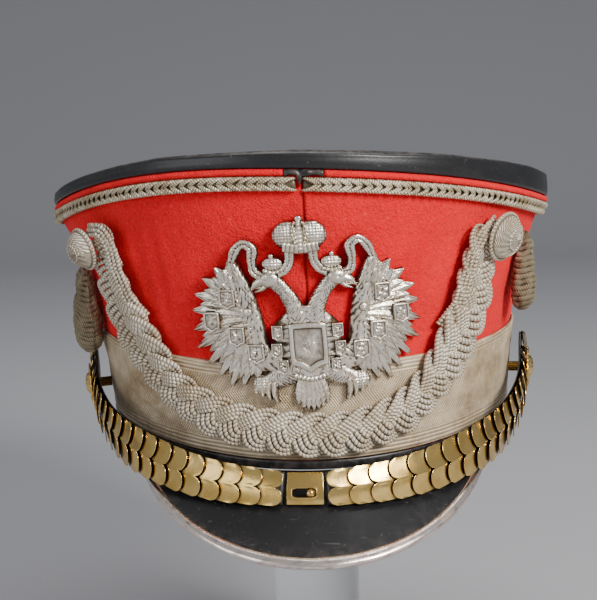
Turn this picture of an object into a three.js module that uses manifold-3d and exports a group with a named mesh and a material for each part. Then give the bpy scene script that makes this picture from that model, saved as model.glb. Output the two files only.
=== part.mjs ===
// A military shako on a clear display stand, in millimetres.
// +Z is up, the hat's front faces -Y, and the origin is the middle of the
// stand's foot, where it rests on the table.
import * as THREE from 'three';
import { mergeVertices } from 'three/addons/utils/BufferGeometryUtils.js';
import Module from 'manifold-3d';

const wasm = await Module();
wasm.setup();

const { PI, sin, cos, tan, max, min, round } = Math;
const rad = THREE.MathUtils.degToRad;
const { lerp, clamp, smoothstep } = THREE.MathUtils;
const vec = (x, y, z) => new THREE.Vector3(x, y, z);

// The body: an oval that flares up to a small ledge under the rim and leans to one side
const HEM_ABOVE_TABLE = 120;
const HAT_SHIFT = -3;
const HEM_SIDE = 86.3;
const HEM_FRONT = 103;
const FLARE_SIDE = 17.6;
const FLARE_FRONT = 11.5;
const FLARE_POWER = 1.8;
const FLARE_END = 0.88;
const LEDGE = 1.2;
const LEDGE_START = 0.78;
const LEDGE_END = 0.87;
const HEM_LEAN = 1.8;
const RIM_LEAN = -1.5;
const WALL = 3;
const GAP = 0.3;

// The rim's height above the front of the hem, as waves round the body
const RIM_MEAN = 110.6;
const RIM_SADDLE = 7.1;
const RIM_TILT = 4;
const RIM_CORNER = 1;
const RIM_SIDE_TILT = 2;
const RIM_TWIST = 0.9;
const HEM_RISE = 6;

// The leather skirt's depth below the rim, which is greater at one side
const SKIRT_MEAN = 7;
const SKIRT_WAVE = 0.9;
const SKIRT_TILT = 2.4;

// Bands round the body, as heights below the skirt or above the hem
const WELT_TOP = 0.3;
const WELT_BOTTOM = 3;
const BRAID_TOP = 3.3;
const BRAID_BOTTOM = 8.2;
const LACE_BOTTOM = 3.6;
const LACE_TOP = 41.2;
const LACE_TOP_RISE = 2.4;
const HEM_BAND_HEIGHT = 3.3;
const TOP_SUNK = 5;
const TOP_THICK = 1.5;

// Where the seam, the welt's gap and the braid's gap lie, from the front
const SEAM_ANGLE = rad(1.7);
const KEEPER_ANGLE = rad(2);
const BRAID_GAP_ANGLE = rad(1.1);

// Visor
const VISOR_CENTRE = rad(1.65);
const VISOR_REACH = 41.3;
const VISOR_HALF_ANGLE = rad(61.9);
const VISOR_POWER = 1.33;
const VISOR_SLOPE = rad(40);
const VISOR_DROP = 1.4;
const VISOR_THICK = 2;
const VISOR_RIM_WIDTH = 5;

// Badge, laid out flat and then bent onto the front of the body
const BADGE_CENTRE = { along: 2.5, height: 49 };
const BADGE_TILT = rad(2);
const BADGE_BACK = 1.9;

// Plaited cord across the front: angle in degrees, height above the hem
const CORD_BACK = 1.9;
const CORD_THICK = 5.6;
const CORD_LOBE = 9.3;
const CORD_ROUTE = [
  [-46.6, 90], [-47.5, 74], [-46.1, 58.2], [-40.5, 43.2], [-34.7, 31.8], [-28.9, 25.8],
  [-22.3, 20.8], [-8.1, 16], [7.4, 14.6], [21.8, 19.4], [28.3, 26], [36.8, 42.4],
  [41.8, 57.1], [43.2, 72.6], [43.2, 88],
];
// Half the cord's width at a height: it is wider where the plait doubles
const CORD_WIDTHS = [[14, 8.8], [30, 8.5], [46, 12], [66, 11.6], [82, 8], [90, 5.8]];
const BOSS_HEIGHT = 6.4;
const BOSSES = {
  left: { at: [-51.7, 84.5], radius: 8.3 },
  right: { at: [47, 87.2], radius: 9.4 },
};
// Side knots: top and bottom of the axis as angle in degrees, height and stand-off
const KNOTS = {
  left: { top: [-62, 73, 4], bottom: [-71, 35, 8.5], radius: 7.6 },
  right: { top: [64, 84.5, 2.2], bottom: [64.5, 51.5, 8], radius: 6.3 },
};

// Chin strap with scales: angle in degrees, height and stand-off from the body
const STRAP_ROUTE = [
  [4.4, -4.6, 10.6], [22, -2.2, 12], [38, 2.6, 12.4], [50, 6.6, 11.4], [62, 12, 9.6],
  [72, 19, 7.8], [77, 28, 6.4], [78.5, 37, 5.4],
];
const STRAP_START = { left: -0.7, right: -0.4 };
const STRAP_END_HEIGHT = { left: -1.5, right: 0 };
const STRAP_BACK = 0.8;
const SCALE_COUNT = 19;
const SCALE_LIFT = 1;
const ROSETTE_RADIUS = 8.4;
const ROSETTE_SHARE = { left: 0.87, right: 0.9 };
const PIN_RADIUS = 2;

// Stand
const FOOT_RADIUS = 43;
const FOOT_HEIGHT = 12;
const POST_RADIUS = 19.6;
const CAP_RADIUS = 30;
const CAP_HEIGHT = 5;
const CAP_CLEAR = 2.2;

const material = (color, roughness, metalness) =>
  new THREE.MeshStandardMaterial({ color, roughness, metalness });
const redCloth = material(0xc41f1c, 0.95, 0);
const blackLeather = material(0x17171a, 0.35, 0);
const silverLace = material(0xa8977a, 0.6, 0.5);
const silverCord = material(0xb4a890, 0.5, 0.6);
const castSilver = material(0xaaa79c, 0.4, 1);
const brass = material(0xb89545, 0.3, 1);
const rimMetal = material(0xb59a8c, 0.35, 1);
const clearAcrylic = material(0xdde4e6, 0.08, 0);

// Height of the rim, the hem and the lace's edges at an angle from the front
const rimHeight = (a) => RIM_MEAN + RIM_SADDLE * cos(2 * a) + RIM_TILT * cos(a)
  - RIM_CORNER * cos(4 * a) + RIM_SIDE_TILT * sin(a) - RIM_TWIST * sin(3 * a);
const skirtBottom = (a) => rimHeight(a) - SKIRT_MEAN + SKIRT_WAVE * cos(2 * a) - SKIRT_TILT * sin(a);
const hemHeight = (a) => HEM_RISE * sin(a) ** 2;
const laceTop = (a) => LACE_TOP + LACE_TOP_RISE * sin(a) ** 2;

// A soft dent in the cloth by the left boss
const dent = (a, height) =>
  1.6 * Math.exp(-(((a + rad(45)) / rad(9)) ** 2) - ((height - 91) / 8) ** 2);

// How far up the body a height is, from 0 at the hem to 1 at the rim
const bodyShare = (a, height) =>
  clamp((height - hemHeight(a)) / (rimHeight(a) - hemHeight(a)), 0, 1);
const flareAt = (share) => min(share / FLARE_END, 1) ** FLARE_POWER;
const sideAt = (a, share) =>
  HEM_SIDE + FLARE_SIDE * flareAt(share) + LEDGE * sin(a) ** 2 * smoothstep(share, LEDGE_START, LEDGE_END);

// A point on the body's outer face, or off it by a stand-off
function wallPoint(a, height, out = 0) {
  const share = bodyShare(a, height);
  return vec(
    lerp(HEM_LEAN, RIM_LEAN, share) + (sideAt(a, share) + out) * sin(a),
    -(HEM_FRONT + FLARE_FRONT * flareAt(share) + out) * cos(a),
    height,
  );
}

// Directions on the body's face: round it, up it and out of it
function wallAxes(a, height) {
  const step = 0.01;
  const round = wallPoint(a + step, height).sub(wallPoint(a - step, height)).normalize();
  const up = wallPoint(a, height + 1).sub(wallPoint(a, height - 1)).normalize();
  const out = round.clone().cross(up).normalize();
  return { round, up, out };
}

// A closed mesh from points and faces, with its faces pointing out
function solid(points, faces) {
  let volume = 0;
  for (const [i, j, k] of faces) {
    volume += points[i].dot(points[j].clone().cross(points[k]));
  }
  const outward = volume > 0 ? faces : faces.map(([i, j, k]) => [i, k, j]);
  const geometry = new THREE.BufferGeometry();
  const positions = points.flatMap((p) => [p.x, p.y, p.z]);
  geometry.setAttribute('position', new THREE.Float32BufferAttribute(positions, 3));
  geometry.setIndex(outward.flat());
  return geometry;
}

// Quads between section i and section j, each with n points
function strip(faces, i, j, n) {
  for (let k = 0; k < n; k++) {
    const m = (k + 1) % n;
    faces.push([i * n + k, j * n + k, j * n + m]);
    faces.push([i * n + k, j * n + m, i * n + m]);
  }
}

// A bar through a row of sections, closed on itself or with flat ends
function loft(sections, closed = false) {
  const n = sections[0].length;
  const last = sections.length - 1;
  const faces = [];
  for (let i = 0; i < last; i++) strip(faces, i, i + 1, n);
  if (closed) strip(faces, last, 0, n);
  for (let k = 1; k < n - 1 && !closed; k++) {
    faces.push([0, k, k + 1]);
    faces.push([last * n, last * n + k + 1, last * n + k]);
  }
  return solid(sections.flat(), faces);
}

// A shell through a row of rings that closes at a middle point at both ends
function lid(rings, firstMiddle, lastMiddle) {
  const n = rings[0].length;
  const last = (rings.length - 1) * n;
  const points = [...rings.flat(), firstMiddle, lastMiddle];
  const faces = [];
  for (let i = 0; i < rings.length - 1; i++) strip(faces, i, i + 1, n);
  for (let k = 0; k < n; k++) {
    const m = (k + 1) % n;
    faces.push([rings.length * n, k, m]);
    faces.push([rings.length * n + 1, last + m, last + k]);
  }
  return solid(points, faces);
}

// A closed mesh as a solid for joining and cutting, and back again
function toManifold(geometry) {
  const bare = geometry.clone();
  bare.deleteAttribute('normal');
  bare.deleteAttribute('uv');
  const merged = mergeVertices(bare, 1e-4);
  return new wasm.Manifold(new wasm.Mesh({
    numProp: 3,
    vertProperties: merged.attributes.position.array,
    triVerts: new Uint32Array(merged.index.array),
  }));
}

function fromManifold(shape) {
  const mesh = shape.getMesh();
  const geometry = new THREE.BufferGeometry();
  geometry.setAttribute('position', new THREE.Float32BufferAttribute(mesh.vertProperties, 3));
  geometry.setIndex([...mesh.triVerts]);
  return geometry;
}

const union = (geometries) =>
  fromManifold(geometries.map(toManifold).reduce((whole, piece) => whole.add(piece)));

const named = (name, geometry, look) => {
  const mesh = new THREE.Mesh(geometry, look);
  mesh.name = name;
  return mesh;
};

// Angles of the sections round the body
const STATIONS = 48;
const SEAM_HALF_ANGLE = rad(0.5);
const stations = Array.from({ length: STATIONS }, (_, i) => (i * 2 * PI) / STATIONS);
const seamStations = [SEAM_ANGLE - SEAM_HALF_ANGLE, SEAM_ANGLE, SEAM_ANGLE + SEAM_HALF_ANGLE];
const stationsWithSeam = [0, ...seamStations, ...stations.slice(1)];

// Angles from one to another, stopping at each station between them
const stationsBetween = (from, to) =>
  [from, ...stations.filter((a) => a > from + 0.03 && a < to - 0.03), to];

// Red cloth body, hollow, with a seam down its front
function crown() {
  const SEAM_DEPTH = 0.7;
  const CHANNEL_CLEAR = 1.8;
  const outerShares = [0, 0.1, 0.22, 0.38, 0.54, 0.68, 0.78, 0.84, 0.9, 1];
  const innerShares = [1, 0.9, 0.78, 0.54, 0.25, 0];
  const sections = stationsWithSeam.map((a) => {
    const top = rimHeight(a) - CHANNEL_CLEAR;
    const bottom = hemHeight(a);
    const turned = a > PI ? a - 2 * PI : a;
    const seam = a === SEAM_ANGLE ? SEAM_DEPTH : 0;
    const face = (share, out) => {
      const height = lerp(bottom, top, share);
      return wallPoint(a, height, out - dent(turned, height));
    };
    return [
      ...outerShares.map((share) => face(share, -seam)),
      ...innerShares.map((share) => face(share, -WALL)),
    ];
  });
  return loft(sections, true);
}

// Black leather rim: a channel that sits over the wall's upper edge
const CHANNEL_INNER = -WALL - GAP;
function leatherRim() {
  const OUTER = 2.2;
  const BEVEL = 1;
  return band((a) => {
    const rim = rimHeight(a);
    const skirt = skirtBottom(a);
    const floor = rim - TOP_SUNK - TOP_THICK;
    return [
      [rim - BEVEL, CHANNEL_INNER - TOP_THICK], [rim, CHANNEL_INNER], [rim, OUTER - BEVEL],
      [rim - BEVEL, OUTER], [skirt, OUTER], [skirt, GAP], [rim - TOP_THICK, GAP],
      [rim - TOP_THICK, CHANNEL_INNER], [floor, CHANNEL_INNER], [floor, CHANNEL_INNER - TOP_THICK],
    ];
  });
}

// Black leather top: a disc sunk below the rim, stretched so that it follows the rim's waves
function leatherTop() {
  const discHeight = (share, a) => RIM_MEAN - TOP_SUNK + RIM_SADDLE * share ** 2 * cos(2 * a)
    + RIM_TILT * share * cos(a) - RIM_CORNER * share ** 4 * cos(4 * a)
    + RIM_SIDE_TILT * share * sin(a) - RIM_TWIST * share ** 3 * sin(3 * a);
  const disc = (share, drop) => stations.map((a) => {
    const rim = wallPoint(a, rimHeight(a) - TOP_SUNK - drop, CHANNEL_INNER - TOP_THICK - GAP);
    return vec(rim.x * share, rim.y * share, discHeight(share, a) - drop);
  });
  const upper = [0.35, 0.7, 1].map((share) => disc(share, 0));
  const lower = [1, 0.7, 0.35].map((share) => disc(share, TOP_THICK));
  const middle = RIM_MEAN - TOP_SUNK;
  return lid([...upper, ...lower], vec(0, 0, middle), vec(0, 0, middle - TOP_THICK));
}

// A band round the body from [height, out] corners, whole or with a gap at an angle
const RIM_SIDE = HEM_SIDE + FLARE_SIDE;
function band(corners, gapAngle = 0, gapHalfWidth = 0) {
  const halfAngle = gapHalfWidth / RIM_SIDE;
  const ends = [gapAngle + halfAngle, 2 * PI + gapAngle - halfAngle];
  const angles = gapHalfWidth ? stationsBetween(...ends) : stations;
  const sections = angles.map((a) => corners(a).map(([height, out]) => wallPoint(a, height, out)));
  return loft(sections, gapHalfWidth === 0);
}

const KEEPER_HALF_WIDTH = 7;
const welt = () => band((a) => {
  const top = skirtBottom(a) - WELT_TOP;
  const bottom = skirtBottom(a) - WELT_BOTTOM;
  return [[top, 0.4], [top, 1.6], [lerp(top, bottom, 0.5), 2.4], [bottom, 1.6], [bottom, 0.4]];
}, KEEPER_ANGLE, KEEPER_HALF_WIDTH + GAP);

const BRAID_GAP_HALF = 1.2;
const rimBraid = () => band((a) => {
  const top = skirtBottom(a) - BRAID_TOP;
  const bottom = skirtBottom(a) - BRAID_BOTTOM;
  return [
    [top - 0.5, 0.4], [top, 1.8], [top - 1.2, 3.2],
    [bottom + 1.2, 3.2], [bottom, 1.8], [bottom + 0.5, 0.4],
  ];
}, BRAID_GAP_ANGLE, BRAID_GAP_HALF);

const laceBand = () => band((a) => {
  const low = hemHeight(a) + LACE_BOTTOM;
  const high = laceTop(a);
  return [
    [low, 0.4], [low, 1.5], [lerp(low, high, 0.5), 1.5], [high, 1.5],
    [high, 0.4], [lerp(low, high, 0.5), 0.4],
  ];
});

const hemBand = () => band((a) => {
  const low = hemHeight(a);
  return [[low, 0.4], [low, 1.4], [low + HEM_BAND_HEIGHT, 1.4], [low + HEM_BAND_HEIGHT, 0.4]];
});

// Black tab in the gap of the welt, with a point between the braid's ends
function plumeKeeper() {
  const TIP_HALF = 0.7;
  const TIP_SLOPE = 0.4;
  const TIP_DROP = 7;
  const tip = (BRAID_GAP_ANGLE - KEEPER_ANGLE) * RIM_SIDE;
  const columns = [
    [-KEEPER_HALF_WIDTH, WELT_BOTTOM], [tip - TIP_HALF - TIP_SLOPE, WELT_BOTTOM],
    [tip - TIP_HALF, WELT_BOTTOM + TIP_SLOPE], [tip, TIP_DROP], [tip + TIP_HALF, WELT_BOTTOM + TIP_SLOPE],
    [tip + TIP_HALF + TIP_SLOPE, WELT_BOTTOM], [KEEPER_HALF_WIDTH, WELT_BOTTOM],
  ];
  const sections = columns.map(([along, drop]) => {
    const a = KEEPER_ANGLE + along / RIM_SIDE;
    const skirt = skirtBottom(a);
    return [
      wallPoint(a, skirt - WELT_TOP, 0.4), wallPoint(a, skirt - WELT_TOP, 2.6),
      wallPoint(a, skirt - drop, 2.6), wallPoint(a, skirt - drop, 0.4),
    ];
  });
  return loft(sections);
}

// Visor: how far it reaches along its slope, and a point on it
const visorReach = (turn) =>
  VISOR_REACH * cos((turn * PI) / 2 / VISOR_HALF_ANGLE) ** VISOR_POWER;
function visorPoint(turn, along, up) {
  const a = VISOR_CENTRE + turn;
  const out = along * cos(VISOR_SLOPE) + up * sin(VISOR_SLOPE);
  const height = hemHeight(a) - VISOR_DROP - along * sin(VISOR_SLOPE) + up * cos(VISOR_SLOPE);
  const point = wallPoint(a, 0, out);
  point.z = height;
  return point;
}
const fan = (from, to, count) => Array.from({ length: count + 1 }, (_, i) => lerp(from, to, i / count));

// The metal border narrows towards the visor's corners
const visorBorder = (turn) => min(VISOR_RIM_WIDTH, 0.72 * visorReach(turn));

function visor() {
  const ROOT = -1;
  const halfTurn = rad(54);
  const sections = fan(-halfTurn, halfTurn, 24).map((turn) => {
    const edge = visorReach(turn) - visorBorder(turn);
    const middle = lerp(ROOT, edge, 0.5);
    return [
      visorPoint(turn, ROOT, 0), visorPoint(turn, middle, 0.3), visorPoint(turn, edge, 0),
      visorPoint(turn, edge, -VISOR_THICK), visorPoint(turn, middle, 0.3 - VISOR_THICK),
      visorPoint(turn, ROOT, -VISOR_THICK),
    ];
  });
  return loft(sections);
}

function visorRim() {
  const BEAD = 0.5;
  const halfTurn = rad(57);
  const sections = fan(-halfTurn, halfTurn, 32).map((turn) => {
    const outer = visorReach(turn);
    const inner = outer - visorBorder(turn) + GAP;
    return [
      visorPoint(turn, inner, BEAD), visorPoint(turn, outer - 0.6, BEAD),
      visorPoint(turn, outer, -VISOR_THICK / 2), visorPoint(turn, outer - 0.6, -VISOR_THICK - BEAD),
      visorPoint(turn, inner, -VISOR_THICK - BEAD),
    ];
  });
  return loft(sections);
}

// A badge point: across and up from the badge's middle, and out from the cloth
function badgePoint(across, up, out) {
  const along = BADGE_CENTRE.along + across * cos(BADGE_TILT) - up * sin(BADGE_TILT);
  const height = BADGE_CENTRE.height + across * sin(BADGE_TILT) + up * cos(BADGE_TILT);
  return wallPoint(along / sideAt(0, bodyShare(0, height)), height, out);
}

// Each piece's back stands a little off the last one's, so no two share a face
let badgePieces = 0;
const nextBack = () => BADGE_BACK + 0.017 * (badgePieces++ % 11);

// A bar of the badge along a spine, with a ridge down its front
function leaf(spine, halfWidths, front) {
  const back = nextBack();
  const wide = max(...halfWidths) > 5;
  const sections = spine.map(([x, y], i) => {
    const [x0, y0] = spine[max(i - 1, 0)];
    const [x1, y1] = spine[min(i + 1, spine.length - 1)];
    const length = Math.hypot(x1 - x0, y1 - y0);
    const nx = -(y1 - y0) / length;
    const ny = (x1 - x0) / length;
    const w = halfWidths[i];
    const side = (s, out) => badgePoint(x + nx * w * s, y + ny * w * s, out);
    const edge = lerp(back, front, 0.45);
    const face = [side(1, back), side(1, edge), side(0, front), side(-1, edge), side(-1, back)];
    return wide ? [...face, side(0, back)] : face;
  });
  return loft(sections);
}

// A flat piece of the badge from an outline round its middle
function plate(outline, front) {
  const back = nextBack();
  const count = outline.length;
  const middle = outline.reduce(([x, y], p) => [x + p[0] / count, y + p[1] / count], [0, 0]);
  const ring = (out) => outline.map(([x, y]) => badgePoint(x, y, out));
  return lid([ring(front), ring(back)], badgePoint(...middle, front), badgePoint(...middle, back));
}

const disc = (x, y, rx, ry, sides) => Array.from({ length: sides }, (_, i) => {
  const turn = ((i + 0.5) * 2 * PI) / sides;
  return [x + rx * cos(turn), y + ry * sin(turn)];
});

// Double-headed eagle badge, cast in one: right-hand pieces are mirrored
function eagleBadge() {
  const FEATHER_TIPS = [
    [26.3, 33], [31.8, 30.3], [37.1, 26.2], [40.7, 20], [42.4, 13.7], [42.7, 6.2], [41.8, -0.7],
    [37.8, -6.7], [34, -11.4], [29.8, -15.3], [25, -15], [19.5, -12.6],
  ];
  const WING_HEEL = [17.5, 1];
  const WING_TOP = [24.5, 19];
  const SMALL_SHIELDS = [[27.6, 18.9], [34.1, 10.2], [25.2, 4.6], [18.6, -2]];
  const SHIELD_OUTLINE = [[-3.2, 3.4], [3.2, 3.4], [3.2, -2.4], [0, -3.6], [-3.2, -2.4]];
  const pieces = [];
  const both = (make) => {
    pieces.push(make((points) => points));
    pieces.push(make((points) => points.map(([x, y]) => [-x, y])));
  };
  pieces.push(leaf([[0, 14], [0, 9], [0, -8], [0, -13]], [6, 11.5, 12, 7], 4.4));
  pieces.push(plate(
    [[-6.7, 9.3], [6.7, 9.3], [6.7, -6.7], [3.4, -9], [0, -10.7], [-3.4, -9], [-6.7, -6.7]], 5.3,
  ));
  FEATHER_TIPS.forEach((tip, i) => {
    const share = i / (FEATHER_TIPS.length - 1);
    const root = [lerp(WING_TOP[0], WING_HEEL[0], share), lerp(WING_TOP[1], WING_HEEL[1], share)];
    const middle = [lerp(root[0], tip[0], 0.65), lerp(root[1], tip[1], 0.65)];
    const front = 3.6 + 0.07 * (i % 3);
    both((turn) => leaf(turn([root, middle, tip]), [1.8, 2.2, 0.4], front));
  });
  const WING_ARM = [[25.6, 31], [22.6, 18], [20.5, 8], [17, -4], [10, -6]];
  both((turn) => leaf(turn(WING_ARM), [1.5, 4.6, 4.2, 6, 5], 4.1));
  SMALL_SHIELDS.forEach(([x, y], i) => {
    const outline = SHIELD_OUTLINE.map(([dx, dy]) => [x + dx, y + dy]);
    both((turn) => plate(turn(outline), 4.9 + 0.06 * i));
  });
  both((turn) => leaf(
    turn([[3.2, 8], [4.4, 16], [8.6, 22.6], [12.4, 25], [15.6, 24], [18.7, 22]]),
    [3.6, 3, 3, 3.2, 1.8, 0.5], 4.7,
  ));
  both((turn) => plate(turn([[7.4, 27.6], [13.4, 28], [14, 31.6], [10.4, 33.9], [6.8, 31.6]]), 4.4));
  both((turn) => leaf(turn([[9, 26.5], [4.6, 30.6], [3.6, 36]]), [1.6, 1.5, 1.6], 3.8));
  both((turn) => leaf(
    turn([[13.4, 26.8], [17.4, 28.4], [17.2, 36.6], [20.4, 38.8], [23.6, 36.8], [25.6, 31.4]]),
    [1.2, 1.5, 1.6, 1.6, 1.5, 1], 3.7,
  ));
  both((turn) => plate(turn(disc(4.8, 41.7, 4.9, 5, 8)), 5));
  pieces.push(leaf([[0, 34.4], [0, 40], [0, 46], [0, 48.7]], [6.4, 3.4, 2.6, 0.8], 5.4));
  both((turn) => leaf(turn([[6, -9], [12.5, -12], [17.5, -15]]), [3.2, 2.6, 2], 4));
  both((turn) => plate(turn(disc(18.2, -15.5, 4, 4, 7)), 4.9));
  both((turn) => leaf(turn([[16.8, -14.6], [14.8, -18.6], [13.4, -22.2]]), [2.2, 1.9, 0.7], 4.3));
  for (const side of [-2, -1, 0, 1, 2]) {
    const tail = [[side * 0.8, -9], [side * 2, -17], [side * 2.4, -25.6 + 0.4 * side * side]];
    pieces.push(leaf(tail, [2, 1.9, 0.9], 3.7 + 0.05 * side));
  }
  return union(pieces);
}

// A smooth route over the body from rows of [degrees, height, stand-off]
const routeOver = (rows) => {
  const table = new THREE.CatmullRomCurve3(rows.map(([degrees, height, out]) => vec(degrees, height, out)));
  return (share) => {
    const at = table.getPoint(share);
    const a = rad(at.x);
    return { a, height: at.y, out: at.z, point: wallPoint(a, at.y, at.z) };
  };
};

// A short measure of a route, and the shares that cut it into equal steps
function equalShares(route, steps) {
  const FINE = 400;
  const lengths = [0];
  for (let i = 1; i <= FINE; i++) {
    lengths.push(lengths[i - 1] + route(i / FINE).point.distanceTo(route((i - 1) / FINE).point));
  }
  const total = lengths[FINE];
  let next = 0;
  const shares = fan(0, total, steps).map((length) => {
    while (next < FINE && lengths[next] < length) next++;
    return next / FINE;
  });
  return { total, shares };
}

// Direction of a route, and the two directions across it
function routeAxes(route, share) {
  const step = 0.004;
  const along = route(min(share + step, 1)).point.sub(route(max(share - step, 0)).point).normalize();
  const { a, height } = route(share);
  const out = wallAxes(a, max(height, 1)).out;
  const across = out.clone().cross(along).normalize();
  return { along, across, out: along.clone().cross(across).normalize() };
}

// The value at a place in a table of [place, value] rows
function valueAt(rows, place) {
  let next = 1;
  while (next < rows.length - 1 && rows[next][0] < place) next++;
  const [from, to] = [rows[next - 1], rows[next]];
  return lerp(from[1], to[1], clamp((place - from[0]) / (to[0] - from[0]), 0, 1));
}

// Plaited cord: a flat band whose edges swell at each lobe of the plait
function cordSwag() {
  const route = routeOver(CORD_ROUTE.map(([degrees, height]) => [degrees, height, CORD_BACK]));
  const rough = equalShares(route, 10).total;
  const steps = 2 * round(rough / CORD_LOBE);
  const { shares } = equalShares(route, steps);
  const sections = shares.map((share, i) => {
    const { height, point } = route(share);
    const { across, out } = routeAxes(route, share);
    const half = valueAt(CORD_WIDTHS, height) + (i % 2 ? 0.4 : -0.4);
    const thick = CORD_THICK + (i % 2 ? 0 : -0.5);
    const corner = (s, t) => point.clone().addScaledVector(across, s * half).addScaledVector(out, t);
    return [
      corner(-0.75, 0), corner(0.75, 0), corner(1, thick * 0.45),
      corner(0.62, thick), corner(-0.62, thick), corner(-1, thick * 0.45),
    ];
  });
  return loft(sections);
}

// A turned piece standing on the body's face, its axis along the face's direction
function placeOnWall(mesh, degrees, height, out) {
  const a = rad(degrees);
  const axes = wallAxes(a, height);
  mesh.position.copy(wallPoint(a, height).addScaledVector(axes.out, out));
  mesh.quaternion.setFromUnitVectors(vec(0, 1, 0), axes.out);
  return mesh;
}

const turned = (profile, sides) =>
  new THREE.LatheGeometry(profile.map(([r, y]) => new THREE.Vector2(r, y)), sides);

function boss(side) {
  const { at: [degrees, height], radius: R } = BOSSES[side];
  const H = BOSS_HEIGHT;
  const profile = [[0, 0], [R, 0], [R, H * 0.25], [R * 0.85, H * 0.6], [R * 0.45, H * 0.9], [0, H]];
  const out = CORD_BACK + CORD_THICK + 0.5;
  return placeOnWall(named(`boss_${side}`, turned(profile, 16), silverCord), degrees, height, out);
}

// Side knot: a cord-wound drop between two points by the body
function sideKnot(side) {
  const { top, bottom, radius: R } = KNOTS[side];
  const high = wallPoint(rad(top[0]), top[1], top[2]);
  const low = wallPoint(rad(bottom[0]), bottom[1], bottom[2]);
  const length = high.distanceTo(low);
  const shares = [
    [0, 0], [0.55, 0.04], [0.92, 0.16], [1, 0.32], [0.86, 0.55], [0.6, 0.78], [0.42, 0.92], [0, 1],
  ];
  const geometry = turned(shares.map(([r, y]) => [r * R, y * length]), 12);
  geometry.scale(1, 1, 0.8);
  const mesh = named(`side_knot_${side}`, geometry, silverCord);
  const up = high.clone().sub(low).normalize();
  const out = wallAxes(rad((top[0] + bottom[0]) / 2), (top[1] + bottom[1]) / 2).out;
  const across = up.clone().cross(out).normalize();
  const basis = new THREE.Matrix4().makeBasis(across, up, across.clone().cross(up));
  mesh.quaternion.setFromRotationMatrix(basis);
  mesh.position.copy(low);
  return mesh;
}

// Chin scales: a strap with overlapping plates, from the clasp to the rosette
function strapRoute(side) {
  const sign = side === 'left' ? -1 : 1;
  return routeOver(STRAP_ROUTE.map(([degrees, height, out], i) => {
    const share = i / (STRAP_ROUTE.length - 1);
    const start = STRAP_START[side] * (1 - share);
    return [sign * degrees + start, height + STRAP_END_HEIGHT[side] * share ** 3, out];
  }));
}

function strapSection(route, share, thick) {
  const { point } = route(share);
  const { across, out } = routeAxes(route, share);
  const half = 6.2 + 2.6 * min(share * 2.2, 1) - 1.6 * max(share - 0.85, 0) / 0.15;
  const lean = lerp(rad(18), 0, min(share * 1.6, 1));
  const upward = across.z > 0 ? 1 : -1;
  const wide = across.clone().multiplyScalar(upward * cos(lean)).addScaledVector(out, -sin(lean));
  const face = out.clone().multiplyScalar(cos(lean)).addScaledVector(across, upward * sin(lean));
  const corner = (s, t) => point.clone().addScaledVector(wide, s * half).addScaledVector(face, t);
  return [
    corner(-1, -STRAP_BACK), corner(1, -STRAP_BACK), corner(1, thick - 0.9),
    corner(0, thick), corner(-1, thick - 0.9),
  ];
}

function chinScales(side) {
  const route = strapRoute(side);
  const { shares } = equalShares(route, SCALE_COUNT);
  const BASE = 1.5;
  const EDGE = 0.12;
  const sections = [];
  for (let i = 0; i < SCALE_COUNT; i++) {
    const next = lerp(shares[i], shares[i + 1], 1 - EDGE);
    sections.push(strapSection(route, shares[i], BASE + SCALE_LIFT));
    sections.push(strapSection(route, next, BASE));
  }
  sections.push(strapSection(route, 1, BASE + SCALE_LIFT));
  const strap = toManifold(loft(sections));
  const hole = new THREE.CylinderGeometry(PIN_RADIUS + GAP, PIN_RADIUS + GAP, 14, 10);
  const { along, out } = rosettePlace(side);
  hole.applyQuaternion(new THREE.Quaternion().setFromUnitVectors(vec(0, 1, 0), out));
  hole.translate(along.x, along.y, along.z);
  return named(`chin_scales_${side}`, fromManifold(strap.subtract(toManifold(hole))), brass);
}

function rosettePlace(side) {
  const route = strapRoute(side);
  const share = ROSETTE_SHARE[side];
  return { along: route(share).point, out: routeAxes(route, share).out, stand: route(share).out };
}

// Rosette over the strap's end, with the pin that holds it to the body
function scaleRosette(side) {
  const { along, out, stand } = rosettePlace(side);
  const R = ROSETTE_RADIUS;
  const base = 2.8;
  const pinFoot = 1.9 - stand;
  const profile = [
    [0, pinFoot], [PIN_RADIUS, pinFoot], [PIN_RADIUS, base], [R, base], [R, base + 0.8],
    [R * 0.55, base + 1.5], [R * 0.4, base + 2.4], [0, base + 2.8],
  ];
  const mesh = named(`scale_rosette_${side}`, turned(profile, 14), brass);
  mesh.position.copy(along);
  mesh.quaternion.setFromUnitVectors(vec(0, 1, 0), out);
  return mesh;
}

// Clasp plate between the two halves of the strap, with a slot for the stud
const CLASP_ANGLE = rad(-0.8);
function claspPoint(along, up, out) {
  const LEAN = tan(rad(18));
  const a = CLASP_ANGLE + along / (HEM_SIDE + 9);
  return wallPoint(a, 0, 10.6 + out - up * LEAN).setZ(-4.4 + up);
}

function claspBox(along0, along1, up0, up1, out0, out1) {
  const sections = fan(along0, along1, 4).map((along) => [
    claspPoint(along, up0, out0), claspPoint(along, up1, out0),
    claspPoint(along, up1, out1), claspPoint(along, up0, out1),
  ]);
  return loft(sections);
}

function scaleClasp() {
  const body = toManifold(claspBox(-6.2, 7.2, -5.8, 5.8, -0.6, 1.4));
  const slot = toManifold(claspBox(-4.2, 0.4, -2.9, 0.4, -3, 4));
  const recess = toManifold(claspBox(0.3, 4.4, -2.9, 0.4, -3, 4));
  return fromManifold(body.subtract(slot).subtract(recess));
}

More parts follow.
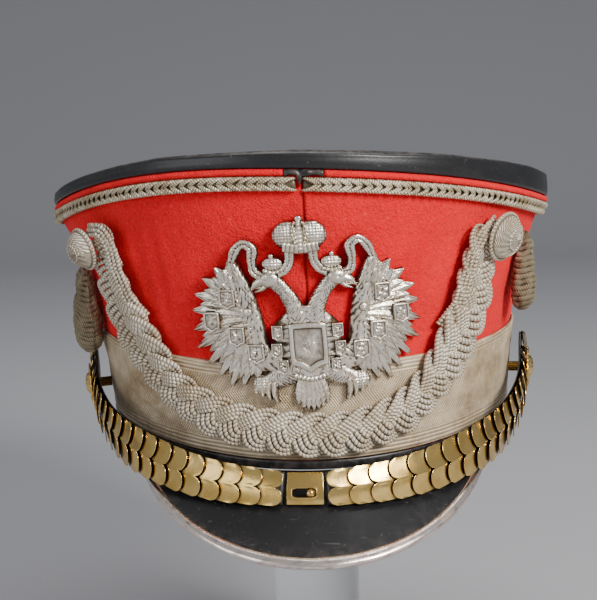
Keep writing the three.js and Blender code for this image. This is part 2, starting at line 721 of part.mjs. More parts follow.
function claspStud() {
  const stud = turned([[0, -1.2], [1.25, -1.2], [1.25, 1.7], [1.55, 1.9], [1.2, 3], [0, 3.4]], 12);
  const mesh = named('clasp_stud', stud, brass);
  const at = claspPoint(2.4, -1.25, 0);
  const ahead = claspPoint(2.4, -1.25, 1).sub(at).normalize();
  mesh.position.copy(at);
  mesh.quaternion.setFromUnitVectors(vec(0, 1, 0), ahead);
  return mesh;
}

// The hat, above its stand
const hat = new THREE.Group();
hat.position.set(HAT_SHIFT, 0, HEM_ABOVE_TABLE);
hat.add(
  named('crown', crown(), redCloth),
  named('leather_rim', leatherRim(), blackLeather),
  named('leather_top', leatherTop(), blackLeather),
  named('welt', welt(), redCloth),
  named('rim_braid', rimBraid(), silverCord),
  named('plume_keeper', plumeKeeper(), blackLeather),
  named('lace_band', laceBand(), silverLace),
  named('hem_band', hemBand(), blackLeather),
  named('visor', visor(), blackLeather),
  named('visor_rim', visorRim(), rimMetal),
  named('eagle_badge', eagleBadge(), castSilver),
  named('cord_swag', cordSwag(), silverCord),
  named('scale_clasp', scaleClasp(), brass),
  claspStud(),
);
for (const side of ['left', 'right']) {
  hat.add(boss(side), sideKnot(side), chinScales(side), scaleRosette(side));
}

// Clear stand: foot, post and the plate that the hat's top rests on
const stand = new THREE.Group();
const capTop = HEM_ABOVE_TABLE + RIM_MEAN - TOP_SUNK - TOP_THICK - CAP_CLEAR;
const postTop = capTop - CAP_HEIGHT;
const pillar = (name, radius, from, to, sides) => {
  const geometry = new THREE.CylinderGeometry(radius, radius, to - from, sides);
  geometry.rotateX(PI / 2);
  const mesh = named(name, geometry, clearAcrylic);
  mesh.position.z = (from + to) / 2;
  return mesh;
};
stand.add(
  pillar('stand_foot', FOOT_RADIUS, 0, FOOT_HEIGHT, 48),
  pillar('stand_post', POST_RADIUS, FOOT_HEIGHT, postTop, 32),
  pillar('stand_cap', CAP_RADIUS, postTop, capTop, 32),
);

const shako = new THREE.Group();
shako.add(hat, stand);
export default shako;
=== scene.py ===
"""Looks of a military shako on a clear display stand.

Lengths are millimetres in the hat's own frame, with height 0 at the front of its
lower edge, and angle 0 at the front and positive to the right as seen from there.
"""
import math

import bpy
import numpy as np
from mathutils import Matrix, Vector


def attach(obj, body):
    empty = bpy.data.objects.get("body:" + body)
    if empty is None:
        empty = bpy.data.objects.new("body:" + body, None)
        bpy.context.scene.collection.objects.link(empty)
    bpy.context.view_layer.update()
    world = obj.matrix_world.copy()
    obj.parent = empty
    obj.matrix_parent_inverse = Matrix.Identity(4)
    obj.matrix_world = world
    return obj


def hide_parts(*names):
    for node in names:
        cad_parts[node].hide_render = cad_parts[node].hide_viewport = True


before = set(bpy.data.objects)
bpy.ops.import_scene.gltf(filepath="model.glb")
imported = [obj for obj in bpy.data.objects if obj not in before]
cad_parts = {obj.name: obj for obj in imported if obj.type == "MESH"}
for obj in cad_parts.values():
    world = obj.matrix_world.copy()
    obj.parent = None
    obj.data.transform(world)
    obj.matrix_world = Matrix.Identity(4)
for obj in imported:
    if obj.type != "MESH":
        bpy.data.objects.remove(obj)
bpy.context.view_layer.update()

# Body and bands, as in the frame
HEM_ABOVE_TABLE = 120.0
HAT_SHIFT = -3.0
HEM_SIDE = 86.3
HEM_FRONT = 103.0
FLARE_SIDE = 17.6
FLARE_FRONT = 11.5
FLARE_POWER = 1.8
FLARE_END = 0.88
LEDGE = 1.2
LEDGE_START = 0.78
LEDGE_END = 0.87
HEM_LEAN = 1.8
RIM_LEAN = -1.5
WALL = 3.0
RIM_MEAN = 110.6
RIM_SADDLE = 7.1
RIM_TILT = 4.0
RIM_CORNER = 1.0
RIM_SIDE_TILT = 2.0
RIM_TWIST = 0.9
HEM_RISE = 6.0
SKIRT_MEAN = 7.0
SKIRT_WAVE = 0.9
SKIRT_TILT = 2.4
WELT_TOP = 0.3
WELT_BOTTOM = 3.0
BRAID_TOP = 3.3
BRAID_BOTTOM = 8.2
LACE_BOTTOM = 3.6
LACE_TOP = 41.2
LACE_TOP_RISE = 2.4
HEM_BAND_HEIGHT = 3.3
TOP_SUNK = 5.0
TOP_THICK = 1.5
KEEPER_HALF_WIDTH = 7.0
RIM_SIDE = HEM_SIDE + FLARE_SIDE
SEAM_ANGLE = math.radians(1.7)
KEEPER_ANGLE = math.radians(2)
BRAID_GAP_ANGLE = math.radians(1.1)

# Visor
VISOR_CENTRE = math.radians(1.65)
VISOR_REACH = 41.3
VISOR_HALF_ANGLE = math.radians(61.9)
VISOR_POWER = 1.33
VISOR_SLOPE = math.radians(40)
VISOR_DROP = 1.4
VISOR_THICK = 2.0
VISOR_RIM_WIDTH = 5.0

# Badge
BADGE_ALONG = 2.5
BADGE_HEIGHT = 49.0
BADGE_TILT = math.radians(2)
BADGE_BACK = 1.9
FEATHER_TIPS = [
    (26.3, 33), (31.8, 30.3), (37.1, 26.2), (40.7, 20), (42.4, 13.7), (42.7, 6.2), (41.8, -0.7),
    (37.8, -6.7), (34, -11.4), (29.8, -15.3), (25, -15.0), (19.5, -12.6),
]
FEATHER_WIDTHS = (1.7, 2.4, 2.5, 2.1, 0.6)
WING_HEEL = (17.5, 1.0)
WING_TOP = (24.5, 19.0)
WING_SHIELDS = [(27.6, 18.9), (34.1, 10.2), (25.2, 4.6), (18.6, -2)]
BREAST_SHIELDS = [(10.6, 5.6), (11.2, -1.2), (9.4, -7.6)]

# Layers of feathers: place between two tips, share of their length, front, step of every second one
FEATHER_LAYERS = [(0.0, 1.0, 3.5, 0.16), (0.5, 0.84, 4.0, 0.16), (0.2, 0.62, 4.5, 0.12)]

# Cast bars: spine, half widths, front, rib, barbs, steps, section's power, beads, lumps
MIDDLE_BARS = {
    "body": ([(0, 15), (0, 6), (0, -4), (0, -13)], (5, 11.6, 12.4, 11, 7), 4.3, 0, 0.2, 40, 2, 0, 0.25),
    "crown": ([(0, 35), (0, 40), (0, 45)], (5.0, 8.6, 7.6, 4.4), 4.6, 0, 0.1, 20, 2, 0, 0.15),
    "band": ([(-6.2, 37.4), (0, 36.6), (6.2, 37.4)], (2.2, 2.3, 2.2), 5.7, 0, 0, 44, 4, 0.34, 0),
    "arch": ([(0, 36), (0, 41), (0, 46.6)], (1.6, 2.2, 1.8, 1.2), 6.2, 0.3, 0, 30, 2, 0.2, 0),
    "tail_band": ([(-6, -11.5), (0, -13), (6, -11.5)], (1.4, 1.6, 1.4), 4.9, 0, 0, 30, 2, 0.35, 0),
}
SIDE_BARS = {
    "arm": ([(24.4, 32), (22.6, 24), (21, 15), (19.2, 7), (17, -4), (10, -6)],
            (1.0, 2.6, 4.0, 4.2, 3.8, 5.2, 5), 4.9, 0.1, 0.22, 50, 2, 0, 0.32),
    "neck": ([(3.0, 7), (4.2, 15), (7.6, 21.4), (11.2, 25.2)],
             (4.4, 3.3, 2.8, 3.0), 4.9, 0, 0.24, 34, 2, 0, 0.25),
    "beak": ([(13.0, 25.2), (16.4, 24.2), (18.7, 21.4)], (2.2, 1.7, 0.3), 5.0, 0.2, 0, 12, 2, 0, 0),
    "jaw": ([(12.8, 23.6), (15.2, 21.6), (17.4, 20.8)], (1.4, 1.0, 0.3), 4.4, 0.1, 0, 10, 2, 0, 0),
    "tongue": ([(14.0, 22.8), (17.0, 22.2), (19.6, 22.4)], (0.5, 0.5, 0.2), 3.8, 0, 0, 8, 2, 0, 0),
    "circlet": ([(6.9, 28.9), (10.4, 28.0), (13.8, 28.9)], (1.0, 1.1, 1.0), 5.1, 0.1, 0, 20, 2, 0.3, 0),
    "stem": ([(8.8, 27.4), (6.2, 28.8), (4.5, 31.6), (4.2, 36)],
             (1.8, 1.9, 1.8, 2.0), 4.2, -0.4, 0.12, 24, 5, 0, 0.12),
    "ribbon": ([(13.6, 26.6), (17.0, 28.0), (17.8, 32.6), (17.4, 36.8), (20.4, 38.9),
                (23.4, 36.6), (25.4, 32)],
               (1.2, 1.9, 1.5, 2.1, 1.9, 1.7, 2.0, 1.2), 4.4, -0.5, 0.1, 60, 6, 0, 0.16),
    "side_arch": ([(1.5, 38.5), (2.5, 43), (1.3, 46.8)], (0.8, 0.9, 0.7), 6.5, 0.1, 0, 26, 2, 0.35, 0),
    "leg": ([(4.5, -8.5), (10, -11.6), (16.2, -13.8)], (3.8, 4.4, 4.0, 2.8), 4.9, 0, 0.3, 30, 2, 0, 0.25),
}

# Domes of one half: x, y, half width, half height, front, net of knobs, lean
SIDE_DOMES = {
    "arm_boss": (20.5, 13.3, 1.7, 1.7, 6.0, 0, 0),
    "head": (11.9, 25.2, 3.5, 2.9, 5.6, 0, 0),
    "eye": (13.2, 26.0, 0.75, 0.7, 6.3, 0, 0),
    "small_crown": (10.4, 31.2, 3.6, 2.4, 5.2, 0.2, 0),
    "crown_orb": (10.6, 34.0, 0.8, 0.9, 5.0, 0, 0),
    "crown_lobe": (4.7, 41.9, 5.0, 4.9, 5.9, 0.3, -0.1),
    "foot": (17.6, -14.8, 4.0, 3.8, 5.4, 0.22, 0),
}

# Plaited cord, bosses and knots
CORD_BACK = 1.9
CORD_THICK = 5.6
PLAIT_PERIOD = 27.9
CORD_ROUTE = [
    (-46.6, 90), (-47.5, 74), (-46.1, 58.2), (-40.5, 43.2), (-34.7, 31.8), (-28.9, 25.8),
    (-22.3, 20.8), (-8.1, 16), (7.4, 14.6), (21.8, 19.4), (28.3, 26), (36.8, 42.4),
    (41.8, 57.1), (43.2, 72.6), (43.2, 88),
]
CORD_WIDTHS = [(14, 8.8), (30, 8.5), (46, 12), (66, 11.6), (82, 8), (90, 5.8)]
BOSS_HEIGHT = 6.4
BOSSES = {"left": ((-51.7, 84.5), 8.3), "right": ((47, 87.2), 9.4)}
KNOTS = {
    "left": ((-62, 73, 4), (-71, 35, 8.5), 7.6),
    "right": ((64, 84.5, 2.2), (64.5, 51.5, 8), 6.3),
}

# Chin scales
STRAP_ROUTE = [
    (4.4, -4.6, 10.6), (22, -2.2, 12), (38, 2.6, 12.4), (50, 6.6, 11.4), (62, 12, 9.6),
    (72, 19, 7.8), (77, 28, 6.4), (78.5, 37, 5.4),
]
STRAP_START = {"left": -0.7, "right": -0.4}
STRAP_END_HEIGHT = {"left": -1.5, "right": 0.0}
SCALE_COUNT = 19
ROSETTE_RADIUS = 8.4
ROSETTE_SHARE = {"left": 0.87, "right": 0.9}
PIN_RADIUS = 2.0
CLASP_ANGLE = math.radians(-0.8)
CLASP_MIDDLE = -4.4
CLASP_OUT = 10.6
CLASP_LEAN = math.radians(18)

# Stand
FOOT_RADIUS = 43.0
FOOT_HEIGHT = 12.0
POST_RADIUS = 19.6
CAP_RADIUS = 30.0
CAP_HEIGHT = 5.0
CAP_CLEAR = 2.2

MM = 0.001
random = np.random.default_rng(7)


# Shapes of the body

def around(count):
    """Even angles once round."""
    return np.arange(count) * 2 * np.pi / count


def signed(a):
    """The same angles between half a turn left and half a turn right."""
    return (a + np.pi) % (2 * np.pi) - np.pi


def rounded_cosine(turn, power):
    """Cosine pressed towards a square wave: its size to a power under one, with its sign."""
    return np.sign(np.cos(turn)) * np.abs(np.cos(turn)) ** power


def square_reach(turn):
    """Distance from the middle of a square of half width 1 to its edge."""
    return 1 / np.maximum(np.abs(np.cos(turn)), np.abs(np.sin(turn)))


def spot(a, height, degrees, half_degrees, middle, half_height):
    """Bell curve round a place on the wall, given by its angle and height."""
    sideways = (a - math.radians(degrees)) / math.radians(half_degrees)
    return np.exp(-sideways ** 2 - ((height - middle) / half_height) ** 2)


def rim_height(a):
    """Height of the rim: a mean plus waves of one to four turns round the body."""
    front = RIM_SADDLE * np.cos(2 * a) + RIM_TILT * np.cos(a) - RIM_CORNER * np.cos(4 * a)
    return RIM_MEAN + front + RIM_SIDE_TILT * np.sin(a) - RIM_TWIST * np.sin(3 * a)


def skirt_bottom(a):
    """Lower edge of the leather skirt: below the rim by a mean depth with two waves."""
    return rim_height(a) - SKIRT_MEAN + SKIRT_WAVE * np.cos(2 * a) - SKIRT_TILT * np.sin(a)


def hem_height(a):
    """Height of the lower edge: a rise with the square of the sine of the angle."""
    return HEM_RISE * np.sin(a) ** 2


def lace_top(a):
    """Upper edge of the lace: it rises towards the sides."""
    return LACE_TOP + LACE_TOP_RISE * np.sin(a) ** 2


def body_share(a, height):
    """How far up the body a height is, from 0 at the hem to 1 at the rim."""
    return np.clip((height - hem_height(a)) / (rim_height(a) - hem_height(a)), 0, 1)


def flare_at(share):
    """Share of the flare at a share of the body: a power that is whole before the rim."""
    return np.minimum(share / FLARE_END, 1) ** FLARE_POWER


def side_at(a, share):
    """Half the body's width: the hem's, a flare that ends below the rim, and a smooth ledge."""
    t = np.clip((share - LEDGE_START) / (LEDGE_END - LEDGE_START), 0, 1)
    return HEM_SIDE + FLARE_SIDE * flare_at(share) + LEDGE * np.sin(a) ** 2 * t * t * (3 - 2 * t)


def wall_point(a, height, out=0.0):
    """Point of an oval that widens with the flare and whose middle leans sideways with height."""
    a, height, out = np.broadcast_arrays(a, height, out)
    share = body_share(a, height)
    lean = HEM_LEAN + (RIM_LEAN - HEM_LEAN) * share
    side = side_at(a, share) + out
    front = HEM_FRONT + FLARE_FRONT * flare_at(share) + out
    return np.stack([lean + side * np.sin(a), -front * np.cos(a), height], -1)


def unit(v):
    return v / np.linalg.norm(v, axis=-1, keepdims=True)


def wall_out(a, height):
    """Direction out of the wall: round it crossed with up it."""
    a, height = np.broadcast_arrays(np.asarray(a, float), np.asarray(height, float))
    around = wall_point(a + 0.01, height) - wall_point(a - 0.01, height)
    up = wall_point(a, height + 1) - wall_point(a, height - 1)
    return unit(np.cross(around, up))


def value_noise(x, y, seed):
    """Smooth noise: sums of sines at random slants, phases and lengths near one unit."""
    rng = np.random.default_rng(seed)
    total = np.zeros(np.broadcast(x, y).shape)
    for _ in range(14):
        turn, phase, length = rng.uniform(0, 2 * np.pi, 2).tolist() + [rng.uniform(0.6, 1.8)]
        total += np.sin((x * np.cos(turn) + y * np.sin(turn)) * 2 * np.pi / length + phase)
    return total / 14 ** 0.5


# Mesh parts: vertices, quads, triangles, and UV and tone for each vertex; low tone is painted shade in most
# materials, and high tone marks wear on the leather

def grid_quads(rows, cols, wrap_rows=False, wrap_cols=False):
    """Quads between neighbouring rows and columns of a grid of points."""
    i = np.arange(rows if wrap_rows else rows - 1)
    j = np.arange(cols if wrap_cols else cols - 1)
    i, j = np.meshgrid(i, j, indexing="ij")
    ni, nj = (i + 1) % rows, (j + 1) % cols
    return np.stack([i * cols + j, i * cols + nj, ni * cols + nj, ni * cols + j], -1).reshape(-1, 4)


def outward(piece):
    """The same part with its faces turned, if its volume comes out negative."""
    p, q, t = piece["points"], piece["quads"], piece["tris"]
    p = p - p.mean(0)
    faces = np.concatenate([q[:, [0, 1, 2]], q[:, [0, 2, 3]], t])
    volume = np.einsum("ij,ij->i", p[faces[:, 0]], np.cross(p[faces[:, 1]], p[faces[:, 2]])).sum()
    if volume < 0:
        piece["quads"] = q[:, ::-1]
        piece["tris"] = t[:, ::-1]
    return piece


def part(points, quads, tris, uv, tone):
    """Vertices and faces turned outwards, with a UV and a tone for each vertex."""
    points = np.asarray(points, float).reshape(-1, 3)
    return outward({
        "points": points,
        "quads": np.asarray(quads, int).reshape(-1, 4),
        "tris": np.asarray(tris, int).reshape(-1, 3),
        "uv": np.zeros((len(points), 2)) if uv is None else np.asarray(uv, float).reshape(-1, 2),
        "tone": np.asarray(tone, float).reshape(-1),
    })


def ring_surface(points, uv=None, tone=0.5):
    """A surface from a grid that closes on itself both ways, such as a band round the body."""
    rows, cols = points.shape[:2]
    return part(points, grid_quads(rows, cols, True, True), (), uv, np.broadcast_to(tone, (rows, cols)))


def bar_surface(points, uv=None, tone=0.5):
    """Closed rings in a row, the columns going round, with a fan of triangles at each end."""
    rows, cols = points.shape[:2]
    middle = np.stack([points[0].mean(0), points[-1].mean(0)])
    j = np.arange(cols)
    following = (j + 1) % cols
    end = (rows - 1) * cols
    first = np.stack([np.full(cols, rows * cols), following, j], -1)
    last = np.stack([np.full(cols, rows * cols + 1), end + j, end + following], -1)
    tone = np.broadcast_to(tone, (rows, cols))
    tone = np.concatenate([tone.reshape(-1), [tone[0].mean(), tone[-1].mean()]])
    if uv is not None:
        uv = np.concatenate([uv.reshape(-1, 2), uv[0].mean(0)[None], uv[-1].mean(0)[None]])
    points = np.concatenate([points.reshape(-1, 3), middle])
    return part(points, grid_quads(rows, cols, False, True), np.concatenate([first, last]), uv, tone)


def lengths_along(points):
    """Length from the start of a line to each of its points."""
    return np.concatenate([[0], np.cumsum(np.linalg.norm(np.diff(points, axis=0), axis=1))])


def spokes(turn, across, up):
    """Directions at angles in the plane of two directions."""
    return np.cos(turn)[..., None] * across + np.sin(turn)[..., None] * up


def tubes(paths, radius, out, sides=8, flat=1.0):
    """Round bars along many paths at once: a circle in the plane of out and of out x along."""
    paths = np.asarray(paths, float)
    along = unit(np.gradient(paths, axis=1))
    across = unit(np.cross(along, np.broadcast_to(out, paths.shape)))
    up = np.cross(across, along)
    turn = around(sides)
    radius = np.broadcast_to(radius, paths.shape[:2])[..., None, None]
    ring = np.cos(turn)[:, None] * across[..., None, :] + flat * np.sin(turn)[:, None] * up[..., None, :]
    rings = paths[..., None, :] + radius * ring
    parts = []
    for path, bar in zip(paths, rings):
        uv = np.stack(np.broadcast_arrays(lengths_along(path)[:, None], turn / (2 * np.pi)), -1)
        parts.append(bar_surface(bar, uv))
    return parts


def merge(parts):
    """Several parts as one."""
    offset = np.cumsum([0] + [len(p["points"]) for p in parts[:-1]])
    joined = {key: np.concatenate([p[key] for p in parts]) for key in ("points", "uv", "tone")}
    joined["quads"] = np.concatenate([p["quads"] + o for p, o in zip(parts, offset)])
    joined["tris"] = np.concatenate([p["tris"] + o for p, o in zip(parts, offset)])
    return joined


def make_piece(name, parts, material, nodes=(), on_table=False):
    """Turns parts in millimetres into one smooth mesh object in metres that rides on the body."""
    joined = merge(parts if isinstance(parts, list) else [parts])
    points = joined["points"] + ([0, 0, 0] if on_table else [HAT_SHIFT, 0, HEM_ABOVE_TABLE])
    quads, tris = joined["quads"], joined["tris"]
    loops = np.concatenate([quads.ravel(), tris.ravel()]).astype(np.int32)
    starts = np.concatenate([
        np.arange(len(quads)) * 4, len(quads) * 4 + np.arange(len(tris)) * 3]).astype(np.int32)
    mesh = bpy.data.meshes.new(name)
    mesh.vertices.add(len(points))
    mesh.vertices.foreach_set("co", (points * MM).astype(np.float32).ravel())
    mesh.loops.add(len(loops))
    mesh.loops.foreach_set("vertex_index", loops)
    mesh.polygons.add(len(starts))
    mesh.polygons.foreach_set("loop_start", starts)
    mesh.polygons.foreach_set("use_smooth", np.ones(len(starts), bool))
    layer = mesh.uv_layers.new(name="along_and_across")
    layer.data.foreach_set("uv", joined["uv"][loops].astype(np.float32).ravel())
    tone = mesh.attributes.new("tone", "FLOAT", "POINT")
    tone.data.foreach_set("value", joined["tone"].astype(np.float32))
    mesh.update(calc_edges=True)
    mesh.validate()
    mesh.materials.append(material)
    piece = bpy.data.objects.new(name, mesh)
    bpy.context.scene.collection.objects.link(piece)
    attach(piece, "root")
    if nodes:
        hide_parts(*nodes)
    return piece


def smooth_route(points, samples=600):
    """Curve through points: cubic pieces whose slopes come from both neighbours."""
    p = np.asarray(points, float)
    step = np.sqrt(np.linalg.norm(np.diff(p, axis=0), axis=1))
    t = np.concatenate([[0], np.cumsum(step)])
    slope = np.diff(p, axis=0) / step[:, None]
    weight = (step[:-1] / (step[:-1] + step[1:]))[:, None]
    inner = slope[:-1] * (1 - weight) + slope[1:] * weight
    tangent = np.concatenate([slope[:1], inner, slope[-1:]])
    at = np.linspace(0, t[-1], samples)
    i = np.clip(np.searchsorted(t, at, side="right") - 1, 0, len(step) - 1)
    h = step[i][:, None]
    s = ((at - t[i]) / step[i])[:, None]
    return ((2 * s ** 3 - 3 * s ** 2 + 1) * p[i] + (s ** 3 - 2 * s ** 2 + s) * h * tangent[i]
            + (3 * s ** 2 - 2 * s ** 3) * p[i + 1] + (s ** 3 - s ** 2) * h * tangent[i + 1])


class Route:
    """A curve over the body with its length, and the directions along, across and out."""

    def __init__(self, rows, samples=900):
        table = smooth_route(rows, samples)
        angle, height = np.radians(table[:, 0]), table[:, 1]
        stand = table[:, 2]
        self.point = wall_point(angle, height, stand)
        self.at = lengths_along(self.point)
        self.length = self.at[-1]
        self.along = unit(np.gradient(self.point, axis=0))
        out = wall_out(angle, np.maximum(height, 1))
        self.across = unit(np.cross(out, self.along))
        self.out = np.cross(self.along, self.across)
        self.height = height

    def get(self, name, s):
        """One of the route's arrays at lengths s, by straight interpolation."""
        values = getattr(self, name)
        s = np.clip(s, 0, self.length)
        if values.ndim == 1:
            return np.interp(s, self.at, values)
        return np.stack([np.interp(s, self.at, values[:, k]) for k in range(3)], -1)

    def place(self, s, over, out):
        """Points at lengths s, moved across the route and out of it."""
        sideways = self.get("across", s) * over[:, None]
        return self.get("point", s) + sideways + self.get("out", s) * out[:, None]


# Shader helpers

def add_node(tree, kind, inputs=None, **settings):
    node = tree.nodes.new(kind)
    for key, value in settings.items():
        setattr(node, key, value)
    for key, value in (inputs or {}).items():
        if isinstance(value, bpy.types.NodeSocket):
            tree.links.new(value, node.inputs[key])
        else:
            node.inputs[key].default_value = value
    return node


def math_node(tree, operation, a, b=0.0, c=0.0):
    return add_node(tree, "ShaderNodeMath", {0: a, 1: b, 2: c}, operation=operation).outputs[0]


def multiply(tree, a, b):
    return math_node(tree, "MULTIPLY", a, b)


def ramp(tree, value, low, high, to_low=0.0, to_high=1.0):
    """Maps a value from one range to another, stopping at the ends."""
    node = add_node(tree, "ShaderNodeMapRange", {
        "Value": value, "From Min": low, "From Max": high, "To Min": to_low, "To Max": to_high})
    return node.outputs["Result"]


def mix_colour(tree, share, a, b):
    """Mixes two colours, each a socket or three numbers."""
    first, second = (c if isinstance(c, bpy.types.NodeSocket) else (*c, 1.0) for c in (a, b))
    node = add_node(tree, "ShaderNodeMix", {0: share, 6: first, 7: second}, data_type="RGBA")
    return node.outputs[2]


def object_coords(tree):
    return tree.nodes.new("ShaderNodeTexCoord").outputs["Object"]


def noise(tree, vector, scale, detail=3.0, roughness=0.55):
    node = add_node(tree, "ShaderNodeTexNoise", {
        "Vector": vector, "Scale": scale, "Detail": detail, "Roughness": roughness})
    return node.outputs["Fac"]


def new_group(name, inputs, outputs):
    """A shader node group with named float, vector or colour sockets."""
    kinds = {"value": "NodeSocketFloat", "vector": "NodeSocketVector", "colour": "NodeSocketColor"}
    tree = bpy.data.node_groups.new(name, "ShaderNodeTree")
    for label, kind in inputs:
        tree.interface.new_socket(name=label, in_out="INPUT", socket_type=kinds[kind])
    for label, kind in outputs:
        tree.interface.new_socket(name=label, in_out="OUTPUT", socket_type=kinds[kind])
    return tree, tree.nodes.new("NodeGroupInput"), tree.nodes.new("NodeGroupOutput")


def group_node(tree, group, inputs):
    return add_node(tree, "ShaderNodeGroup", inputs, node_tree=group)


def patches_group():
    """Soft patches: noise of a size, cut between two levels."""
    tree, given, result = new_group(
        "soft_patches", [("Coords", "vector"), ("Size", "value"), ("Low", "value"), ("High", "value")],
        [("Mask", "value")])
    scale = math_node(tree, "DIVIDE", 1.0, given.outputs["Size"])
    field = noise(tree, given.outputs["Coords"], scale, 5.0, 0.6)
    node = add_node(tree, "ShaderNodeMapRange", {
        "Value": field, "From Min": given.outputs["Low"], "From Max": given.outputs["High"]})
    tree.links.new(node.outputs["Result"], result.inputs["Mask"])
    return tree


def scratches_group():
    """Fine scratches: noise stretched along two slants, of which only the peaks are kept."""
    tree, given, result = new_group(
        "fine_scratches", [("Coords", "vector"), ("Density", "value")], [("Mask", "value")])
    masks = []
    for turn, stretch in ((0.5, (60, 900, 900)), (-0.9, (900, 70, 900))):
        mapping = add_node(tree, "ShaderNodeMapping", {
            "Vector": given.outputs["Coords"], "Rotation": (0.2, turn, turn), "Scale": stretch})
        masks.append(ramp(tree, noise(tree, mapping.outputs[0], 1.0, 2.0), 0.68, 0.74))
    both = math_node(tree, "MAXIMUM", masks[0], masks[1])
    tree.links.new(multiply(tree, both, given.outputs["Density"]), result.inputs["Mask"])
    return tree


def twist_group():
    """Twisted cord: a wave of the length along it plus its turn round it, and fine threads."""
    tree, given, result = new_group(
        "twisted_thread", [("UV", "vector"), ("Pitch", "value"), ("Plies", "value")],
        [("Height", "value"), ("Groove", "value")])
    split = add_node(tree, "ShaderNodeSeparateXYZ", {0: given.outputs["UV"]})
    along = math_node(tree, "DIVIDE", split.outputs[0], given.outputs["Pitch"])
    around = multiply(tree, split.outputs[1], given.outputs["Plies"])
    phase = multiply(tree, math_node(tree, "ADD", along, around), 2 * math.pi)
    wave = math_node(tree, "SINE", phase)
    height = math_node(tree, "MULTIPLY_ADD", wave, 0.5, 0.5)
    fine = math_node(tree, "SINE", multiply(tree, phase, 5.0))
    whole = math_node(tree, "MULTIPLY_ADD", fine, 0.08, height)
    tree.links.new(whole, result.inputs["Height"])
    # Groove: the low part of the twist, used as painted shade
    tree.links.new(ramp(tree, height, 0.0, 0.45, 1.0, 0.0), result.inputs["Groove"])
    return tree


PATCHES = patches_group()
SCRATCHES = scratches_group()
TWIST = twist_group()


def new_material(name, roughness=0.5, metallic=0.0, **sockets):
    material = bpy.data.materials.new(name)
    material.use_nodes = True
    tree = material.node_tree
    shader = tree.nodes["Principled BSDF"]
    shader.inputs["Roughness"].default_value = roughness
    shader.inputs["Metallic"].default_value = metallic
    for key, value in sockets.items():
        shader.inputs[key.replace("_", " ")].default_value = value
    return material, tree, shader


def put_bump(tree, shader, height, distance, strength=1.0):
    bump = add_node(tree, "ShaderNodeBump", {"Height": height, "Strength": strength, "Distance": distance})
    tree.links.new(bump.outputs["Normal"], shader.inputs["Normal"])


def patches(tree, coords, size_mm, low, high):
    return group_node(tree, PATCHES, {
        "Coords": coords, "Size": size_mm * MM, "Low": low, "High": high}).outputs["Mask"]


def tone_of(tree):
    return add_node(tree, "ShaderNodeAttribute", None, attribute_name="tone").outputs["Fac"]


def uv_of(tree):
    return tree.nodes.new("ShaderNodeTexCoord").outputs["UV"]


# Materials

def red_cloth():
    """Felted wool: a deep red with paler lint, darker soil and a fine raised nap, and painted shade along
    the seam's groove where the tone is low.
    """
    material, tree, shader = new_material(
        "red_wool_cloth", 0.95, 0.0, Sheen_Weight=0.15, Sheen_Roughness=0.5, Specular_IOR_Level=0.15)
    shader.inputs["Sheen Tint"].default_value = (1.0, 0.35, 0.3, 1.0)
    coords = object_coords(tree)
    soil = patches(tree, coords, 22, 0.45, 0.75)
    fade = patches(tree, coords, 60, 0.4, 0.7)
    lint = patches(tree, coords, 1.1, 0.55, 0.78)
    grain = patches(tree, coords, 1.6, 0.5, 0.72)
    colour = mix_colour(tree, fade, (0.86, 0.008, 0.017), (0.97, 0.017, 0.025))
    colour = mix_colour(tree, multiply(tree, grain, 0.4), colour, (0.45, 0.004, 0.008))
    colour = mix_colour(tree, multiply(tree, lint, 0.45), colour, (1.0, 0.15, 0.12))
    colour = mix_colour(tree, multiply(tree, soil, 0.3), colour, (0.45, 0.012, 0.012))
    # painted shade: low tone darkens the red in the front seam's groove
    colour = mix_colour(tree, math_node(tree, "SUBTRACT", 1.0, tone_of(tree)), colour, (0.2, 0.006, 0.006))
    tree.links.new(colour, shader.inputs["Base Color"])
    nap = math_node(tree, "ADD", noise(tree, coords, 1400, 4.0), noise(tree, coords, 350, 3.0))
    put_bump(tree, shader, nap, 0.0007, 0.9)
    return material


def black_leather():
    """Patent leather: near black, with scuffs that lose the gloss, scratches and a fine grain."""
    material, tree, shader = new_material(
        "black_patent_leather", 0.4, 0.0, Coat_Weight=0.18, Coat_Roughness=0.28)
    coords = object_coords(tree)
    scuff = patches(tree, coords, 9, 0.55, 0.72)
    marks = group_node(tree, SCRATCHES, {"Coords": coords, "Density": 0.8}).outputs["Mask"]
    wear_and_shade = multiply(tree, tone_of(tree), patches(tree, coords, 3, 0.4, 0.62))
    colour = mix_colour(tree, scuff, (0.006, 0.006, 0.007), (0.012, 0.011, 0.011))
    colour = mix_colour(tree, multiply(tree, marks, 0.5), colour, (0.12, 0.11, 0.1))
    colour = mix_colour(tree, wear_and_shade, colour, (0.16, 0.13, 0.11))
    tree.links.new(colour, shader.inputs["Base Color"])
    gloss = ramp(tree, scuff, 0, 1, 0.36, 0.5)
    rough = math_node(tree, "ADD", gloss, multiply(tree, marks, 0.2))
    tree.links.new(rough, shader.inputs["Roughness"])
    put_bump(tree, shader, noise(tree, coords, 900, 3.0), 0.0002, 0.25)
    return material


